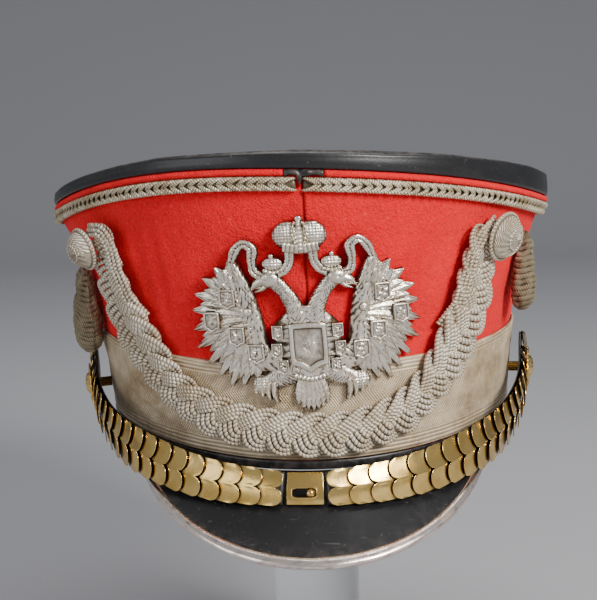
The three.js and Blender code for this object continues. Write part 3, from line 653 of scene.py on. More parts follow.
def thread_material(name, bright, dull, dark, pitch, plies, metal=0.75, gloss=0.36, depth=0.35):
    """Metal thread twisted into cord: bright on the twist's back, with painted shade in its grooves and
    where the tone is low.
    """
    material, tree, shader = new_material(name, gloss, metal)
    coords = object_coords(tree)
    twist = group_node(tree, TWIST, {"UV": uv_of(tree), "Pitch": pitch, "Plies": plies})
    aged = patches(tree, coords, 12, 0.38, 0.68)
    colour = mix_colour(tree, aged, bright, dull)
    # painted shade in the twist's grooves
    colour = mix_colour(tree, multiply(tree, twist.outputs["Groove"], 0.8), colour, dark)
    # painted shade where the tone is low: between the boss's ribs, in its step, in the knot's grooves and
    # over the braid's core
    colour = mix_colour(tree, ramp(tree, tone_of(tree), 0.0, 0.4, 0.85, 0.0), colour, dark)
    tree.links.new(colour, shader.inputs["Base Color"])
    rough = math_node(tree, "ADD", gloss, multiply(tree, aged, 0.15))
    tree.links.new(rough, shader.inputs["Roughness"])
    put_bump(tree, shader, twist.outputs["Height"], depth * MM, 1.0)
    return material


def lace_material():
    """Woven lace: zigzag ribs, a plain striped edge above and below, soil and bright wear, with painted
    shade in the weave's low parts and where the tone is low.
    """
    material, tree, shader = new_material("aged_silver_lace", 0.55, 0.2)
    coords = object_coords(tree)
    split = add_node(tree, "ShaderNodeSeparateXYZ", {0: uv_of(tree)})
    along, up = split.outputs[0], split.outputs[1]
    slant = math_node(tree, "PINGPONG", up, 5.2)
    rib = math_node(tree, "SINE", multiply(tree, math_node(
        tree, "MULTIPLY_ADD", slant, 0.75, along), 2 * math.pi / 1.15))
    weft = math_node(tree, "SINE", multiply(tree, up, 2 * math.pi / 0.62))
    stripe = math_node(tree, "SINE", multiply(tree, up, 2 * math.pi / 1.5))
    edge = math_node(tree, "MAXIMUM", ramp(tree, up, 6.4, 6.0), ramp(tree, up, 31.5, 32.0))
    ribs = math_node(tree, "MULTIPLY_ADD", weft, 0.35, rib)
    pattern = add_node(tree, "ShaderNodeMix", None)
    for key, value in ((0, edge), (2, ribs), (3, stripe)):
        tree.links.new(value, pattern.inputs[key])
    height = math_node(tree, "MULTIPLY_ADD", pattern.outputs[0], 0.5, 0.5)
    soil = patches(tree, coords, 16, 0.4, 0.68)
    fray = patches(tree, coords, 2.2, 0.5, 0.75)
    colour = mix_colour(tree, soil, (0.8, 0.64, 0.43), (0.42, 0.29, 0.15))
    colour = mix_colour(tree, multiply(tree, fray, 0.5), colour, (0.95, 0.84, 0.66))
    # painted shade in the low parts of the weave
    colour = mix_colour(tree, ramp(tree, height, 0.0, 0.5, 0.6, 0.0), colour, (0.12, 0.085, 0.045))
    # painted shade where the tone is low, along the band's rounded edges
    colour = mix_colour(tree, ramp(tree, tone_of(tree), 0.0, 0.5, 0.7, 0.0), colour, (0.1, 0.07, 0.04))
    tree.links.new(colour, shader.inputs["Base Color"])
    put_bump(tree, shader, height, 0.0003, 0.8)
    return material


def metal_material(name, bright, dull, dark, gloss, dull_gloss, patch=6.0, scratch=0.5, bump=0.25):
    """Metal with wear: bright on what stands out, with tarnish patches and scratches; low tone makes it
    rougher and darker, which is painted shade in the hollows of the badge, the scales and the clasp, and
    random tarnish on the visor's binding.
    """
    material, tree, shader = new_material(name, gloss, 1.0)
    coords = object_coords(tree)
    tarnish = patches(tree, coords, patch, 0.42, 0.68)
    marks = group_node(tree, SCRATCHES, {"Coords": coords, "Density": scratch}).outputs["Mask"]
    # painted shade in the hollows where the tone is low; random tarnish where the visor binding's tone dips
    shade_and_tarnish = ramp(tree, tone_of(tree), 0.1, 0.55, 1.0, 0.0)
    colour = mix_colour(tree, tarnish, bright, dull)
    colour = mix_colour(tree, shade_and_tarnish, colour, dark)
    colour = mix_colour(tree, multiply(tree, marks, 0.5), colour, bright)
    tree.links.new(colour, shader.inputs["Base Color"])
    rough = ramp(tree, math_node(tree, "MAXIMUM", tarnish, shade_and_tarnish), 0, 1, gloss, dull_gloss)
    tree.links.new(rough, shader.inputs["Roughness"])
    grain = math_node(tree, "ADD", noise(tree, coords, 700, 3.0), multiply(tree, marks, -0.3))
    put_bump(tree, shader, grain, 0.0003, bump)
    return material


def clear_material():
    """Clear acrylic with a few faint smears in its gloss."""
    material, tree, shader = new_material(
        "clear_acrylic", 0.03, 0.0, Transmission_Weight=1.0, IOR=1.49)
    shader.inputs["Base Color"].default_value = (0.93, 0.96, 0.96, 1.0)
    smear = patches(tree, object_coords(tree), 30, 0.45, 0.7)
    tree.links.new(ramp(tree, smear, 0, 1, 0.02, 0.07), shader.inputs["Roughness"])
    return material


RED = red_cloth()
LEATHER = black_leather()
SILVER_CORD = thread_material(
    "silver_twisted_cord",
    (0.92, 0.82, 0.66), (0.62, 0.5, 0.34), (0.09, 0.055, 0.025), 1.5, 1.0, 0.4)
BRAID_CORD = thread_material(
    "rim_braid_thread",
    (0.88, 0.78, 0.58), (0.5, 0.39, 0.23), (0.06, 0.035, 0.015), 0.9, 1.0, 0.5, depth=0.15)
KNOT_CORD = thread_material(
    "wound_knot_thread",
    (0.5, 0.41, 0.26), (0.28, 0.22, 0.12), (0.04, 0.028, 0.014), 1.0, 1.0, 0.3, 0.5)
LACE = lace_material()
EAGLE_METAL = metal_material(
    "cast_silver",
    (0.95, 0.88, 0.76), (0.68, 0.58, 0.45), (0.1, 0.07, 0.04), 0.26, 0.46, 5.0, 0.5, 0.6)
BRASS = metal_material(
    "polished_brass",
    (0.82, 0.57, 0.2), (0.6, 0.38, 0.1), (0.1, 0.055, 0.012), 0.16, 0.3, 9.0, 0.4, 0.08)
RIM_METAL = metal_material(
    "worn_silvered_rim",
    (0.92, 0.83, 0.77), (0.74, 0.57, 0.49), (0.22, 0.14, 0.11), 0.2, 0.38, 7.0, 0.6, 0.12)
CLEAR = clear_material()


# Body of the hat

def cloth_relief(a, height):
    """How far the cloth stands in or out: the dent by the left boss, drag folds and waves."""
    t = signed(a)
    dent = -1.6 * spot(t, height, -45, 9, 91, 8)
    bump = 0.8 * spot(t, height, -44, 4, 79, 5)
    folds = 0.25 * spot(t, height, -36, 7, 72, 26) * np.sin(t * 70 + height * 0.03)
    waves = 0.22 * value_noise(t * 90 / 45, height / 45, 3)
    return dent + bump + folds + waves


def body_of_cloth():
    """Closed wall: out along the flare, over the top edge and back down 3 mm inside."""
    outer_rows, inner_rows = 110, 40
    near_seam = SEAM_ANGLE + np.linspace(-0.03, 0.03, 25)
    a = np.unique(np.concatenate([around(420), near_seam]) % (2 * np.pi))[:, None]
    share = np.concatenate([np.linspace(0, 1, outer_rows), np.linspace(1, 0, inner_rows)])[None]
    inside = np.repeat([0.0, 1.0], [outer_rows, inner_rows])[None]
    top = rim_height(a) - 1.8
    height = hem_height(a) + share * (top - hem_height(a))
    from_seam = signed(a - SEAM_ANGLE) * RIM_SIDE
    seam = np.exp(-(from_seam / 0.55) ** 2) * (1 - inside)
    pucker = 0.3 * np.exp(-(from_seam / 3.5) ** 2) * (1 - inside)
    out = cloth_relief(a, height) - WALL * inside - 1.0 * seam + pucker
    # tone low along the seam: painted shade in its groove
    return ring_surface(wall_point(a, height, out), None, 1 - 0.75 * seam)


def top_disc_height(share, a):
    """Stretched skin: each wave of the rim fades inwards with its own power of the radius."""
    return (RIM_MEAN - TOP_SUNK + RIM_SADDLE * share ** 2 * np.cos(2 * a)
            + RIM_TILT * share * np.cos(a) - RIM_CORNER * share ** 4 * np.cos(4 * a)
            + RIM_SIDE_TILT * share * np.sin(a) - RIM_TWIST * share ** 3 * np.sin(3 * a))


def top_of_leather():
    """Lid: a sunken skin, a raised rounded rim and a skirt over the wall's upper edge."""
    count = 360
    a = around(count)[:, None]
    inner = -WALL - 0.3
    shares = np.linspace(0.004, 1, 34)[None]
    rim = wall_point(a, rim_height(a) - TOP_SUNK, inner - TOP_THICK)
    sag = 0.35 * value_noise(shares * np.cos(a) * 2.4, shares * np.sin(a) * 2.4, 5)

    def disc(drop):
        points = np.empty((count, shares.size, 3))
        points[..., :2] = rim[..., :2] * shares[..., None]
        points[..., 2] = top_disc_height(shares, a) - drop + sag * (1 - shares ** 6)
        return points

    turn = np.linspace(0, np.pi, 17)[None]
    rim_in, rim_out, rim_rise = inner - TOP_THICK, 2.2, 1.6
    rim_top = rim_height(a) - rim_rise + rim_rise * np.sin(turn)
    rim_across = (rim_in + rim_out) / 2 - (rim_out - rim_in) / 2 * np.cos(turn)
    wobble = 0.18 * value_noise(a * 100 / 30, np.zeros_like(a), 11)
    over = wall_point(a, rim_top + wobble, rim_across)
    down = np.linspace(0, 1, 8)[None]
    start = rim_height(a) - 2.2
    skirt = wall_point(a, start + (skirt_bottom(a) - start) * down, rim_out + 0.25 * np.sin(np.pi * down))
    tuck = wall_point(a, skirt_bottom(a) + np.array([[0, 0.2]]), np.array([[1.2, 0.35]]))
    below = np.array([[TOP_THICK, TOP_THICK, TOP_SUNK + TOP_THICK]])
    channel = wall_point(a, rim_height(a) - below, np.array([[0.3, inner, inner]]))
    points = np.concatenate([disc(0), over, skirt, tuck, channel, disc(TOP_THICK)[:, ::-1]], 1)
    rows = points.shape[1]
    edge = np.zeros((count, rows))
    ridge = shares.size + np.arange(turn.size)
    edge[:, ridge] = np.sin(turn) ** 3
    quads = grid_quads(count, rows, True, False)
    k = np.arange(count)
    middle = np.array([[0, 0, RIM_MEAN - TOP_SUNK], [0, 0, RIM_MEAN - TOP_SUNK - TOP_THICK]])
    total = count * rows
    onward = (k + 1) % count * rows
    first = np.stack([onward, k * rows, np.full(count, total)], -1)
    last = np.stack([k * rows + rows - 1, onward + rows - 1, np.full(count, total + 1)], -1)
    corners = np.concatenate([points.reshape(-1, 3), middle])
    return part(corners, quads, np.concatenate([first, last]), None, np.append(edge.ravel(), [0, 0]))


def open_band(section, gap_angle, half_gap, count=520):
    """Bar round the body with a gap at an angle, whose section is a closed row of corners."""
    half = half_gap / RIM_SIDE
    a = np.linspace(gap_angle + half, 2 * np.pi + gap_angle - half, count)[:, None]
    height, out = section(a)
    return wall_point(a, height, out)


def welt_piping():
    """Rounded piping: half an oval standing out from the wall, slightly uneven."""
    turn = np.linspace(-np.pi / 2, np.pi / 2, 11)[None]

    def section(a):
        middle = skirt_bottom(a) - (WELT_TOP + WELT_BOTTOM) / 2
        uneven = 1 + 0.06 * value_noise(a * 100 / 9, np.zeros_like(a), 17)
        return middle + 1.45 * np.sin(turn), 0.35 + 2.1 * np.cos(turn) * uneven

    return bar_surface(open_band(section, KEEPER_ANGLE, KEEPER_HALF_WIDTH + 0.3), None, 1.0)


def chevron_braid():
    """Rim braid: pairs of threads that leave the middle line and curl to its upper or lower edge."""
    pitch = 3.8
    reach = 5.4
    middle = (BRAID_TOP + BRAID_BOTTOM) / 2
    half = (BRAID_BOTTOM - BRAID_TOP) / 2 - 0.35
    fine = np.linspace(0, np.pi, 4000)
    t = np.linspace(0, 1, 8)[None]
    parts = []
    for side in (-1, 1):
        round_body = BRAID_GAP_ANGLE + side * fine
        line = wall_point(round_body, skirt_bottom(round_body) - middle, 1.6)
        length = lengths_along(line)
        starts = np.arange(1.2 + reach, length[-1] - 0.5, pitch)
        for rise in (-1, 1):
            for strand in (0.0, 0.85):
                jitter = random.normal(0, 0.18, (len(starts), 1))
                at = starts[:, None] + strand * 1.6 - reach * t + jitter
                up = rise * half * np.sin(np.clip(t * 1.12, 0, 1) * np.pi / 2) ** 1.15
                stand = 1.0 + 1.75 * np.sin(np.pi * np.clip(t * 0.85 + 0.12, 0, 1)) - 0.3 * strand
                angle = BRAID_GAP_ANGLE + side * np.interp(at, length, fine)
                height = skirt_bottom(angle) - middle + up
                paths = wall_point(angle, height, stand + 0 * angle)
                normal = wall_out(angle, height)
                radius = 0.66 * np.sin(np.pi * (0.12 + 0.76 * t)) ** 0.5
                parts += tubes(paths, radius + 0 * angle, normal, 6)
    return parts


def braid_core():
    """Flat core behind the braid's threads, with a tone of 0 so that it is dark: painted shade in the gaps
    between them.
    """
    turn = np.linspace(-np.pi / 2, np.pi / 2, 7)[None]

    def section(a):
        middle = skirt_bottom(a) - (BRAID_TOP + BRAID_BOTTOM) / 2
        return middle + 2.0 * np.sin(turn), 0.35 + 1.0 * np.cos(turn)

    # tone 0: painted shade all over the core
    return bar_surface(open_band(section, BRAID_GAP_ANGLE, 1.4), None, 0.0)


def keeper_tab():
    """Leather tab in the welt's gap, drawn down to a point between the braid's ends."""
    along = np.linspace(-KEEPER_HALF_WIDTH, KEEPER_HALF_WIDTH, 61)[:, None]
    a = KEEPER_ANGLE + along / RIM_SIDE
    from_tip = along - (BRAID_GAP_ANGLE - KEEPER_ANGLE) * RIM_SIDE
    tip = np.clip(1 - np.abs(from_tip) / 0.95, 0, 1) ** 0.7
    low = WELT_BOTTOM - 0.3 + (7 - WELT_BOTTOM) * tip + 0.3 * np.cos(along * 0.8)
    turn = np.array([0, 0.15, 0.5, 0.85, 1, 1, 0.85, 0.15, 0])[None]
    front = np.array([1.5, 2.5, 2.7, 2.5, 1.5, 0.6, 0.4, 0.4, 0.6])[None]
    height = skirt_bottom(a) - WELT_TOP * (1 - turn) - low * turn
    return bar_surface(wall_point(a, height, front + 0.15 * np.sin(along * 1.3)), None, 0.4)


def lace_relief(a, up):
    """Wrinkles in the lace at the lower left, and slight waves everywhere."""
    t = signed(a)
    place = spot(t, up, -45, 12, 14, 12)
    folds = 0.5 * place * np.sin(up * 0.9 + t * 22) + 0.35 * place * np.sin(t * 60 - up * 0.35)
    return folds + 0.18 * value_noise(t * 90 / 16, up / 12, 23)


def lace_round_body():
    """Flat band with rounded edges, its UV the millimetres round the body and above its edge."""
    count = 640
    a = around(count)[:, None]
    share = np.linspace(0, 1, 46)[None]
    back_share = 1 - share[:, ::15]
    low = hem_height(a) + LACE_BOTTOM
    span = lace_top(a) - low
    edge = np.clip(np.minimum(share, 1 - share) * span / 0.7, 0, 1) ** 0.5
    outer = wall_point(a, low + share * span, 0.5 + edge + lace_relief(a, share * span) * edge)
    inner = wall_point(a, low + back_share * span, 0.25)
    up = np.concatenate([share * span, back_share * span], 1)
    uv = np.stack(np.broadcast_arrays(a * 96, up), -1)
    # tone: lower towards the band's rounded edges, where the lace paints it as shade; 0 on the hidden back
    tone = np.concatenate([0.35 + 0.65 * edge, np.zeros((count, back_share.size))], 1)
    return ring_surface(np.concatenate([outer, inner], 1), uv, tone)


def hem_binding():
    """Leather binding of the lower edge: a flat oval section."""
    a = around(480)[:, None]
    turn = around(14)[None]
    low = hem_height(a)
    height = low + HEM_BAND_HEIGHT / 2 + 0.15 + (HEM_BAND_HEIGHT / 2 + 0.1) * np.sin(turn)
    return ring_surface(wall_point(a, height, 0.75 + 0.6 * rounded_cosine(turn, 0.5)), None, 0.25)


# Visor

def visor_reach(turn):
    """Reach of the visor: a power of a cosine that falls to nothing at its ends."""
    return VISOR_REACH * np.cos(turn * (np.pi / 2) / VISOR_HALF_ANGLE) ** VISOR_POWER


def visor_border(turn):
    """Width of the metal border: whole along the front, narrower towards the corners."""
    return np.minimum(VISOR_RIM_WIDTH, 0.72 * visor_reach(turn))


def visor_point(turn, along, up):
    """Point at a distance along the visor's slope and a height off it."""
    a = VISOR_CENTRE + turn
    out = along * math.cos(VISOR_SLOPE) + up * math.sin(VISOR_SLOPE)
    point = wall_point(a, 0 * along, out)
    fall = along * math.sin(VISOR_SLOPE) - up * math.cos(VISOR_SLOPE)
    point[..., 2] = hem_height(a) - VISOR_DROP - fall
    return point


def visor_leather():
    """Visor shell: a top face a little arched along its slope, and the same face below it."""
    count, rows = 150, 36
    turn = np.linspace(-math.radians(55.5), math.radians(55.5), count)[:, None]
    edge = visor_reach(turn) - 0.5 * visor_border(turn)
    share = np.linspace(0, 1, rows)[None]
    along = -1 + share * (edge + 1)
    arch = 0.35 * np.sin(np.pi * share) + 0.12 * value_noise(turn * 90 / 25, along / 25, 31)
    top = visor_point(turn, along, arch)
    below = visor_point(turn, along, arch - VISOR_THICK)[:, ::-1]
    tone = np.concatenate([0.5 * share ** 14 + 0 * turn, np.zeros((count, rows))], 1)
    return bar_surface(np.concatenate([top, below], 1), None, tone)


def visor_binding():
    """Metal binding: a flat oval section that follows the visor's edge and tapers at its ends."""
    turn = np.linspace(-math.radians(57), math.radians(57), 320)[:, None]
    round_turn = around(16)[None]
    fade = np.clip((math.radians(57.3) - np.abs(turn)) / math.radians(3), 0.25, 1)
    border = visor_border(turn)
    middle = visor_reach(turn) - border / 2
    waver = 1 + 0.05 * value_noise(turn * 90 / 14, 0 * turn, 41)
    along = middle + border / 2 * rounded_cosine(round_turn, 0.75) * waver
    up = -VISOR_THICK / 2 + (VISOR_THICK / 2 + 0.55) * np.sin(round_turn) * fade
    tone = np.clip(0.62 + 0.2 * value_noise(turn * 90 / 5, round_turn, 43), 0, 1)
    return bar_surface(visor_point(turn, along, up), None, tone)


# Badge

def badge_point(x, y, out):
    """Flat badge coordinates turned by the badge's tilt and bent round the body's front."""
    along = BADGE_ALONG + x * math.cos(BADGE_TILT) - y * math.sin(BADGE_TILT)
    height = BADGE_HEIGHT + x * math.sin(BADGE_TILT) + y * math.cos(BADGE_TILT)
    return wall_point(along / side_at(0.0, body_share(0.0, height)), height, out)


def leaf(spine, widths, front, rib=0.25, barbs=0.0, rows=16, power=2.0, bead=0.0, rough=0.0):
    """Cast bar along a spine: an arched section with a rib, slanting barbs, beads and lumps."""
    route = smooth_route(spine, rows)
    across = unit(np.gradient(route, axis=0))[:, ::-1] * [-1, 1]
    width = np.interp(np.linspace(0, 1, rows), np.linspace(0, 1, len(widths)), widths)[:, None]
    s = np.linspace(-1, 1, 13)[None]
    reach = lengths_along(route)[:, None]
    arch = (1 - np.abs(s) ** power) ** 0.5
    ridge = rib * np.exp(-(s / 0.16) ** 2)
    comb = barbs * np.sin((reach - np.abs(s) * width * 1.1) * 2 * np.pi / 1.15) * (np.abs(s) > 0.14)
    beads = bead * np.sin(reach * 2 * np.pi / 1.5) * (1 - s ** 2)
    xy = route[:, None, :] + across[:, None, :] * (s * width)[..., None]
    lumps = rough * value_noise(xy[..., 0] / 0.8, xy[..., 1] / 0.8, 71) * (1 - s ** 6)
    out = BADGE_BACK + (front - BADGE_BACK) * (0.35 + 0.65 * arch) + ridge + comb + beads + lumps
    top = badge_point(xy[..., 0], xy[..., 1], out)
    floor = badge_point(xy[:, [-1, 0], 0], xy[:, [-1, 0], 1], BADGE_BACK)
    points = np.concatenate([top, floor], 1)
    # tone: painted shade at the bars' sides, between the barbs and on the floor, less on the rib, beads and
    # lumps
    tone = np.clip(0.05 + 0.6 * arch + 1.2 * ridge + 2.8 * comb + 1.5 * beads + 1.6 * lumps, 0, 1)
    return bar_surface(points, None, np.concatenate([tone, np.zeros((rows, 2))], 1))


def medallion(x, y, half_x, half_y, front, point=0.35, figure=0):
    """Framed plate: a raised border round a sunken field with low, rubbed relief in it, and painted shade in
    the sunken ring and at the outer edge.
    """
    radii = [0.0, 0.3, 0.6, 0.72, 0.78, 0.88, 0.96, 1.0]
    lifts = [0.0, 0.02, 0.0, -0.05, 0.5, 0.6, 0.45, -0.3]
    sides = 48
    turn = around(sides)
    outline = 0.86 * square_reach(turn) ** 0.9
    ux = np.clip(outline * np.cos(turn), -1, 1)
    uy = np.clip(outline * np.sin(turn), -1, 1)
    uy = uy - point * np.clip(-np.sin(turn), 0, 1) ** 6 * (1 - np.abs(ux)) * 0.6
    fine = np.concatenate([np.linspace(0.02, 0.7, 9), [0.74, 0.8, 0.86, 0.92, 0.97, 1.0]])
    lift = np.interp(fine, radii, lifts)
    px = x + half_x * fine[:, None] * ux[None]
    py = y + half_y * fine[:, None] * uy[None]
    inner = np.clip((0.7 - fine) / 0.7, 0, 1)[:, None]
    broad = value_noise(px / (half_x * 0.5) + 9 * figure, py / (half_y * 0.5), 60 + figure)
    fine_lumps = value_noise(px / 0.7, py / 0.7, 80 + figure)
    low = (0.34 * broad + 0.2 * fine_lumps) * np.sqrt(inner) * (fine < 0.72)[:, None]
    top = badge_point(px, py, front + lift[:, None] + low)
    wall = badge_point(px[-1], py[-1], BADGE_BACK + 0 * px[-1])[None]
    points = np.concatenate([top, wall], 0)
    shade = np.interp(fine, [0, 0.68, 0.74, 0.8, 0.92, 1.0], [0.6, 0.35, 0.0, 0.8, 1.0, 0.1])[:, None]
    tone = np.concatenate([np.clip(shade + 0.7 * low, 0, 1), np.zeros((1, sides))])
    return bar_surface(points, None, tone)


def dome(x, y, rx, ry, front, knobs=0.0, lean=0.0):
    """Half ball of the badge, with small knobs in crossing rows where asked."""
    sides = 64 if knobs else 20
    rise = np.linspace(0, np.pi / 2, 24 if knobs else 10)[:, None]
    turn = around(sides)[None]
    px = x + rx * np.cos(rise) * np.cos(turn)
    py = y + ry * np.cos(rise) * np.sin(turn) + lean * (px - x)
    net = np.sin((px + py) * 2 * np.pi / 2.2) * np.sin((px - py) * 2 * np.pi / 2.2)
    bump = knobs * net * np.sqrt(np.sin(rise))
    out = front - min(rx, ry) * 0.55 * (1 - np.sin(rise)) + bump
    top = badge_point(px, py, out)
    foot = badge_point(px[0], py[0], BADGE_BACK + 0 * px[0])[None]
    # tone: painted shade round the dome's foot, fading towards its top
    tone = np.concatenate([np.zeros((1, sides)), np.clip(0.1 + 0.6 * np.sin(rise) + 1.6 * bump, 0, 1)])
    return bar_surface(np.concatenate([foot, top]), None, tone)


def mirrored(points, side):
    return [(side * x, y) for x, y in points]


def feathers(side):
    """Three layers of feathers from the wing's front edge to its tips, the upper ones shorter."""
    tips, top, heel = np.array(FEATHER_TIPS), np.array(WING_TOP), np.array(WING_HEEL)
    last = len(tips) - 1
    parts = []
    for between, reach, front, step in FEATHER_LAYERS:
        for i in range(last if between else last + 1):
            tip = tips[i] + between * (tips[min(i + 1, last)] - tips[i])
            root = top + (heel - top) * (i + between) / last
            end = root + reach * (tip - root)
            bend = root + 0.6 * (end - root) + [0.4, 0.7]
            spine = mirrored([root, bend, end], side)
            parts.append(leaf(spine, FEATHER_WIDTHS, front + step * (i % 2), 0.45, 0.16, 20, rough=0.08))
    return parts


def claws(side):
    """Four claws of a foot, fanned out from its ball."""
    parts = []
    for k in range(4):
        spine = [(13.4 + k * 1.9, -13.6 - k * 0.2), (13.6 + k * 2.2, -18.2 + k * 0.5),
                 (12.4 + k * 2.5, -22.0 + k * 1.4)]
        parts.append(leaf(mirrored(spine, side), (1.3, 1.2, 0.4), 5.6, 0.25, 0.0, 14, rough=0.1))
    return parts


def tail_feathers():
    """Seven feathers of the tail, the outer ones shorter."""
    parts = []
    for k in range(-3, 4):
        spine = [(k * 0.5, -9), (k * 1.5, -17), (k * 1.8, -25.2 + 0.3 * k * k)]
        parts.append(leaf(spine, (1.8, 2.0, 1.8, 0.7), 4.1 - 0.05 * abs(k), 0.4, 0.18, 22, rough=0.12))
    return parts


def eagle():
    """Double-headed eagle: body, necks, feathered wings, shields, crowns, ribbons, legs and tail."""
    parts = [leaf(*bar) for bar in MIDDLE_BARS.values()] + tail_feathers()
    parts.append(medallion(0, 0.6, 7.9, 9.6, 5.4, 0.5, 1))
    parts.append(dome(0, 47.5, 1.2, 1.2, 5.6))
    for side in (-1, 1):
        parts += feathers(side) + claws(side)
        for spine, *sizes in SIDE_BARS.values():
            parts.append(leaf(mirrored(spine, side), *sizes))
        for x, y, rx, ry, front, knobs, lean in SIDE_DOMES.values():
            parts.append(dome(side * x, y, rx, ry, front, knobs, side * lean))
        for i, (x, y) in enumerate(WING_SHIELDS):
            parts.append(medallion(side * x, y, 3.5, 3.8, 5.6 + 0.1 * i, 0.6, 2 + i + (side > 0) * 5))
        for i, (x, y) in enumerate(BREAST_SHIELDS):
            parts.append(medallion(side * x, y, 2.3, 3.0, 5.2, 0.5, 11 + i))
    return parts


# Plaited cord

def swag_half_width(height):
    """Half the cord's width, read from the table of heights and widths."""
    heights, widths = np.transpose(CORD_WIDTHS)
    return np.interp(height, heights, widths)


def plaited_cord():
    """Three strands of four cords: each strand a sine across, sheared so that its hooks lean."""
    first, last = (-51.5, 90.5), (46.8, 92.5)
    route = Route([(a, h, CORD_BACK) for a, h in [first] + CORD_ROUTE + [last]])
    s = np.linspace(0, route.length, 620)
    half = swag_half_width(route.get("height", s))
    taper = np.clip(np.minimum(s, route.length - s) / 14, 0.35, 1)
    parts = []
    for strand in range(3):
        phase = 2 * np.pi * (s / PLAIT_PERIOD + strand / 3)
        wide = half * 0.37
        side = (half - wide) * np.sin(phase) * taper
        depth = CORD_THICK * 0.5 - 0.2 + 1.5 * np.sin(2 * phase)
        slope = np.gradient(side, s)
        size = np.sqrt(1 + slope ** 2)
        for cord in range(4):
            shift = (cord - 1.5) * wide * 0.53 * taper
            over = side + shift / size
            at = np.clip(s - slope / size * shift + 0.42 * over, 0, route.length)
            bulge = 0.35 * (1 - ((cord - 1.5) / 1.5) ** 2)
            path = route.place(at, over, depth + bulge)
            radius = wide * 0.28 * np.clip(taper + 0.2, 0, 1)
            parts += tubes(path[None], radius[None], route.get("out", at)[None], 8, 0.95)
    return parts + inner_cords(route)


def inner_cords(route):
    """Straight beaded cords from each boss down the inner edge of the plait."""
    reach = 52.0
    parts = []
    for end in (0, 1):
        down = np.linspace(4, reach, 200)
        s = route.length - down if end else down
        half = swag_half_width(route.get("height", s))
        sink = np.clip((down - reach + 14) / 14, 0, 1)
        for row in range(3):
            over = half * np.clip(down / 16, 0.45, 1) - 0.2 - 1.75 * row
            depth = 3.4 + 0.7 * row - 2.6 * sink
            path = route.place(s, over, depth)
            beads = 0.86 + 0.14 * np.sin(down * 2 * np.pi / 1.9 + row)
            parts += tubes(path[None], beads[None], route.get("out", s)[None], 8, 0.95)
    return parts


def boss(side):
    """Thread-covered boss: a dome with a stepped rim and leaning ribs of thread."""
    (degrees, height), boss_radius = BOSSES[side]
    a = math.radians(degrees)
    out = wall_out(a, height)
    foot = wall_point(a, height) + out * (CORD_BACK + CORD_THICK + 0.5)
    across = unit(np.cross([0, 0, 1.0], out))
    up = np.cross(out, across)
    profile = np.array([
        (0.2, 0.0), (0.96, 0.0), (1.0, 0.1), (1.0, 0.2), (0.94, 0.27), (0.9, 0.3), (0.86, 0.42),
        (0.78, 0.6), (0.66, 0.76), (0.5, 0.88), (0.32, 0.96), (0.16, 0.995), (0.03, 1.0)])
    fine = np.linspace(0, len(profile) - 1, 60)
    r = np.interp(fine, np.arange(len(profile)), profile[:, 0])[:, None]
    h = np.interp(fine, np.arange(len(profile)), profile[:, 1])[:, None]
    turn = around(96)[None]
    fade = np.clip((0.9 - r) * 8, 0, 1) * np.clip(r * 4, 0, 1) * (h > 0.25)
    ribs = 0.28 * np.sin(16 * turn + 5 * r) * fade
    radius = boss_radius * r
    lift = BOSS_HEIGHT * h + ribs
    points = foot + radius[..., None] * spokes(turn, across, up) + lift[..., None] * out
    uv = np.stack([turn * radius / 1.2, r * 6 + 0 * turn], -1)
    # tone: painted shade between the ribs and in the rim's step
    tone = np.clip(0.62 + 1.3 * ribs - 0.5 * (np.abs(h - 0.28) < 0.04), 0, 1)
    parts = [bar_surface(points, uv, tone)]
    for share, rise, thick in ((0.97, 0.12, 0.7), (0.42, 0.94, 0.35)):
        ring = spokes(around(120), across, up)
        path = foot + boss_radius * share * ring + out * BOSS_HEIGHT * rise
        closed = np.concatenate([path, path[:2]])
        parts += tubes(closed[None], thick, out, 8)
    return parts


def side_knot(side):
    """Drop wound with cord: a turned profile with leaning rows of cord pressed into bumps."""
    (top_a, top_h, top_out), (low_a, low_h, low_out), knot_radius = KNOTS[side]
    high = wall_point(math.radians(top_a), top_h, top_out)
    low = wall_point(math.radians(low_a), low_h, low_out)
    length = np.linalg.norm(high - low)
    up = (high - low) / length
    out = wall_out(math.radians((top_a + low_a) / 2), (top_h + low_h) / 2)
    across = unit(np.cross(up, out))
    out = np.cross(across, up)
    profile = np.array([
        (0.03, 0.0), (0.4, 0.015), (0.7, 0.06), (0.92, 0.16), (1, 0.3), (0.93, 0.46), (0.8, 0.6),
        (0.64, 0.76), (0.5, 0.9), (0.3, 0.98), (0.03, 1.0)])
    y = np.linspace(0, 1, 170)[:, None]
    r = np.interp(y, profile[:, 1], profile[:, 0])
    turn = around(72)[None]
    pitch = 2.3
    row = (y * length / pitch + 0.25 * np.sin(2 * turn + 1.0)) * 2 * np.pi
    strand = 12 * turn + row * 0.5
    lumps = 0.5 * value_noise(turn * 1.3, y * 5, 91)
    rows = np.abs(np.sin(row / 2))
    relief = (0.55 * rows ** 0.7 + 0.05 * np.sin(strand) + lumps) * np.clip(r * 3, 0, 1)
    radius = np.maximum(knot_radius * r - 0.45 + relief, 0.05)
    points = (low + (y * length)[..., None] * up
              + (radius * np.cos(turn))[..., None] * across + (0.8 * radius * np.sin(turn))[..., None] * out)
    uv = np.stack(np.broadcast_arrays(turn * 8, y * length / pitch), -1)
    # tone: painted shade in the grooves between the rows of cord, with random variation from the lumps
    tone = np.clip(rows * 0.9 + 0.5 * lumps, 0.05, 1)
    return bar_surface(points, uv, tone)


# Chin scales

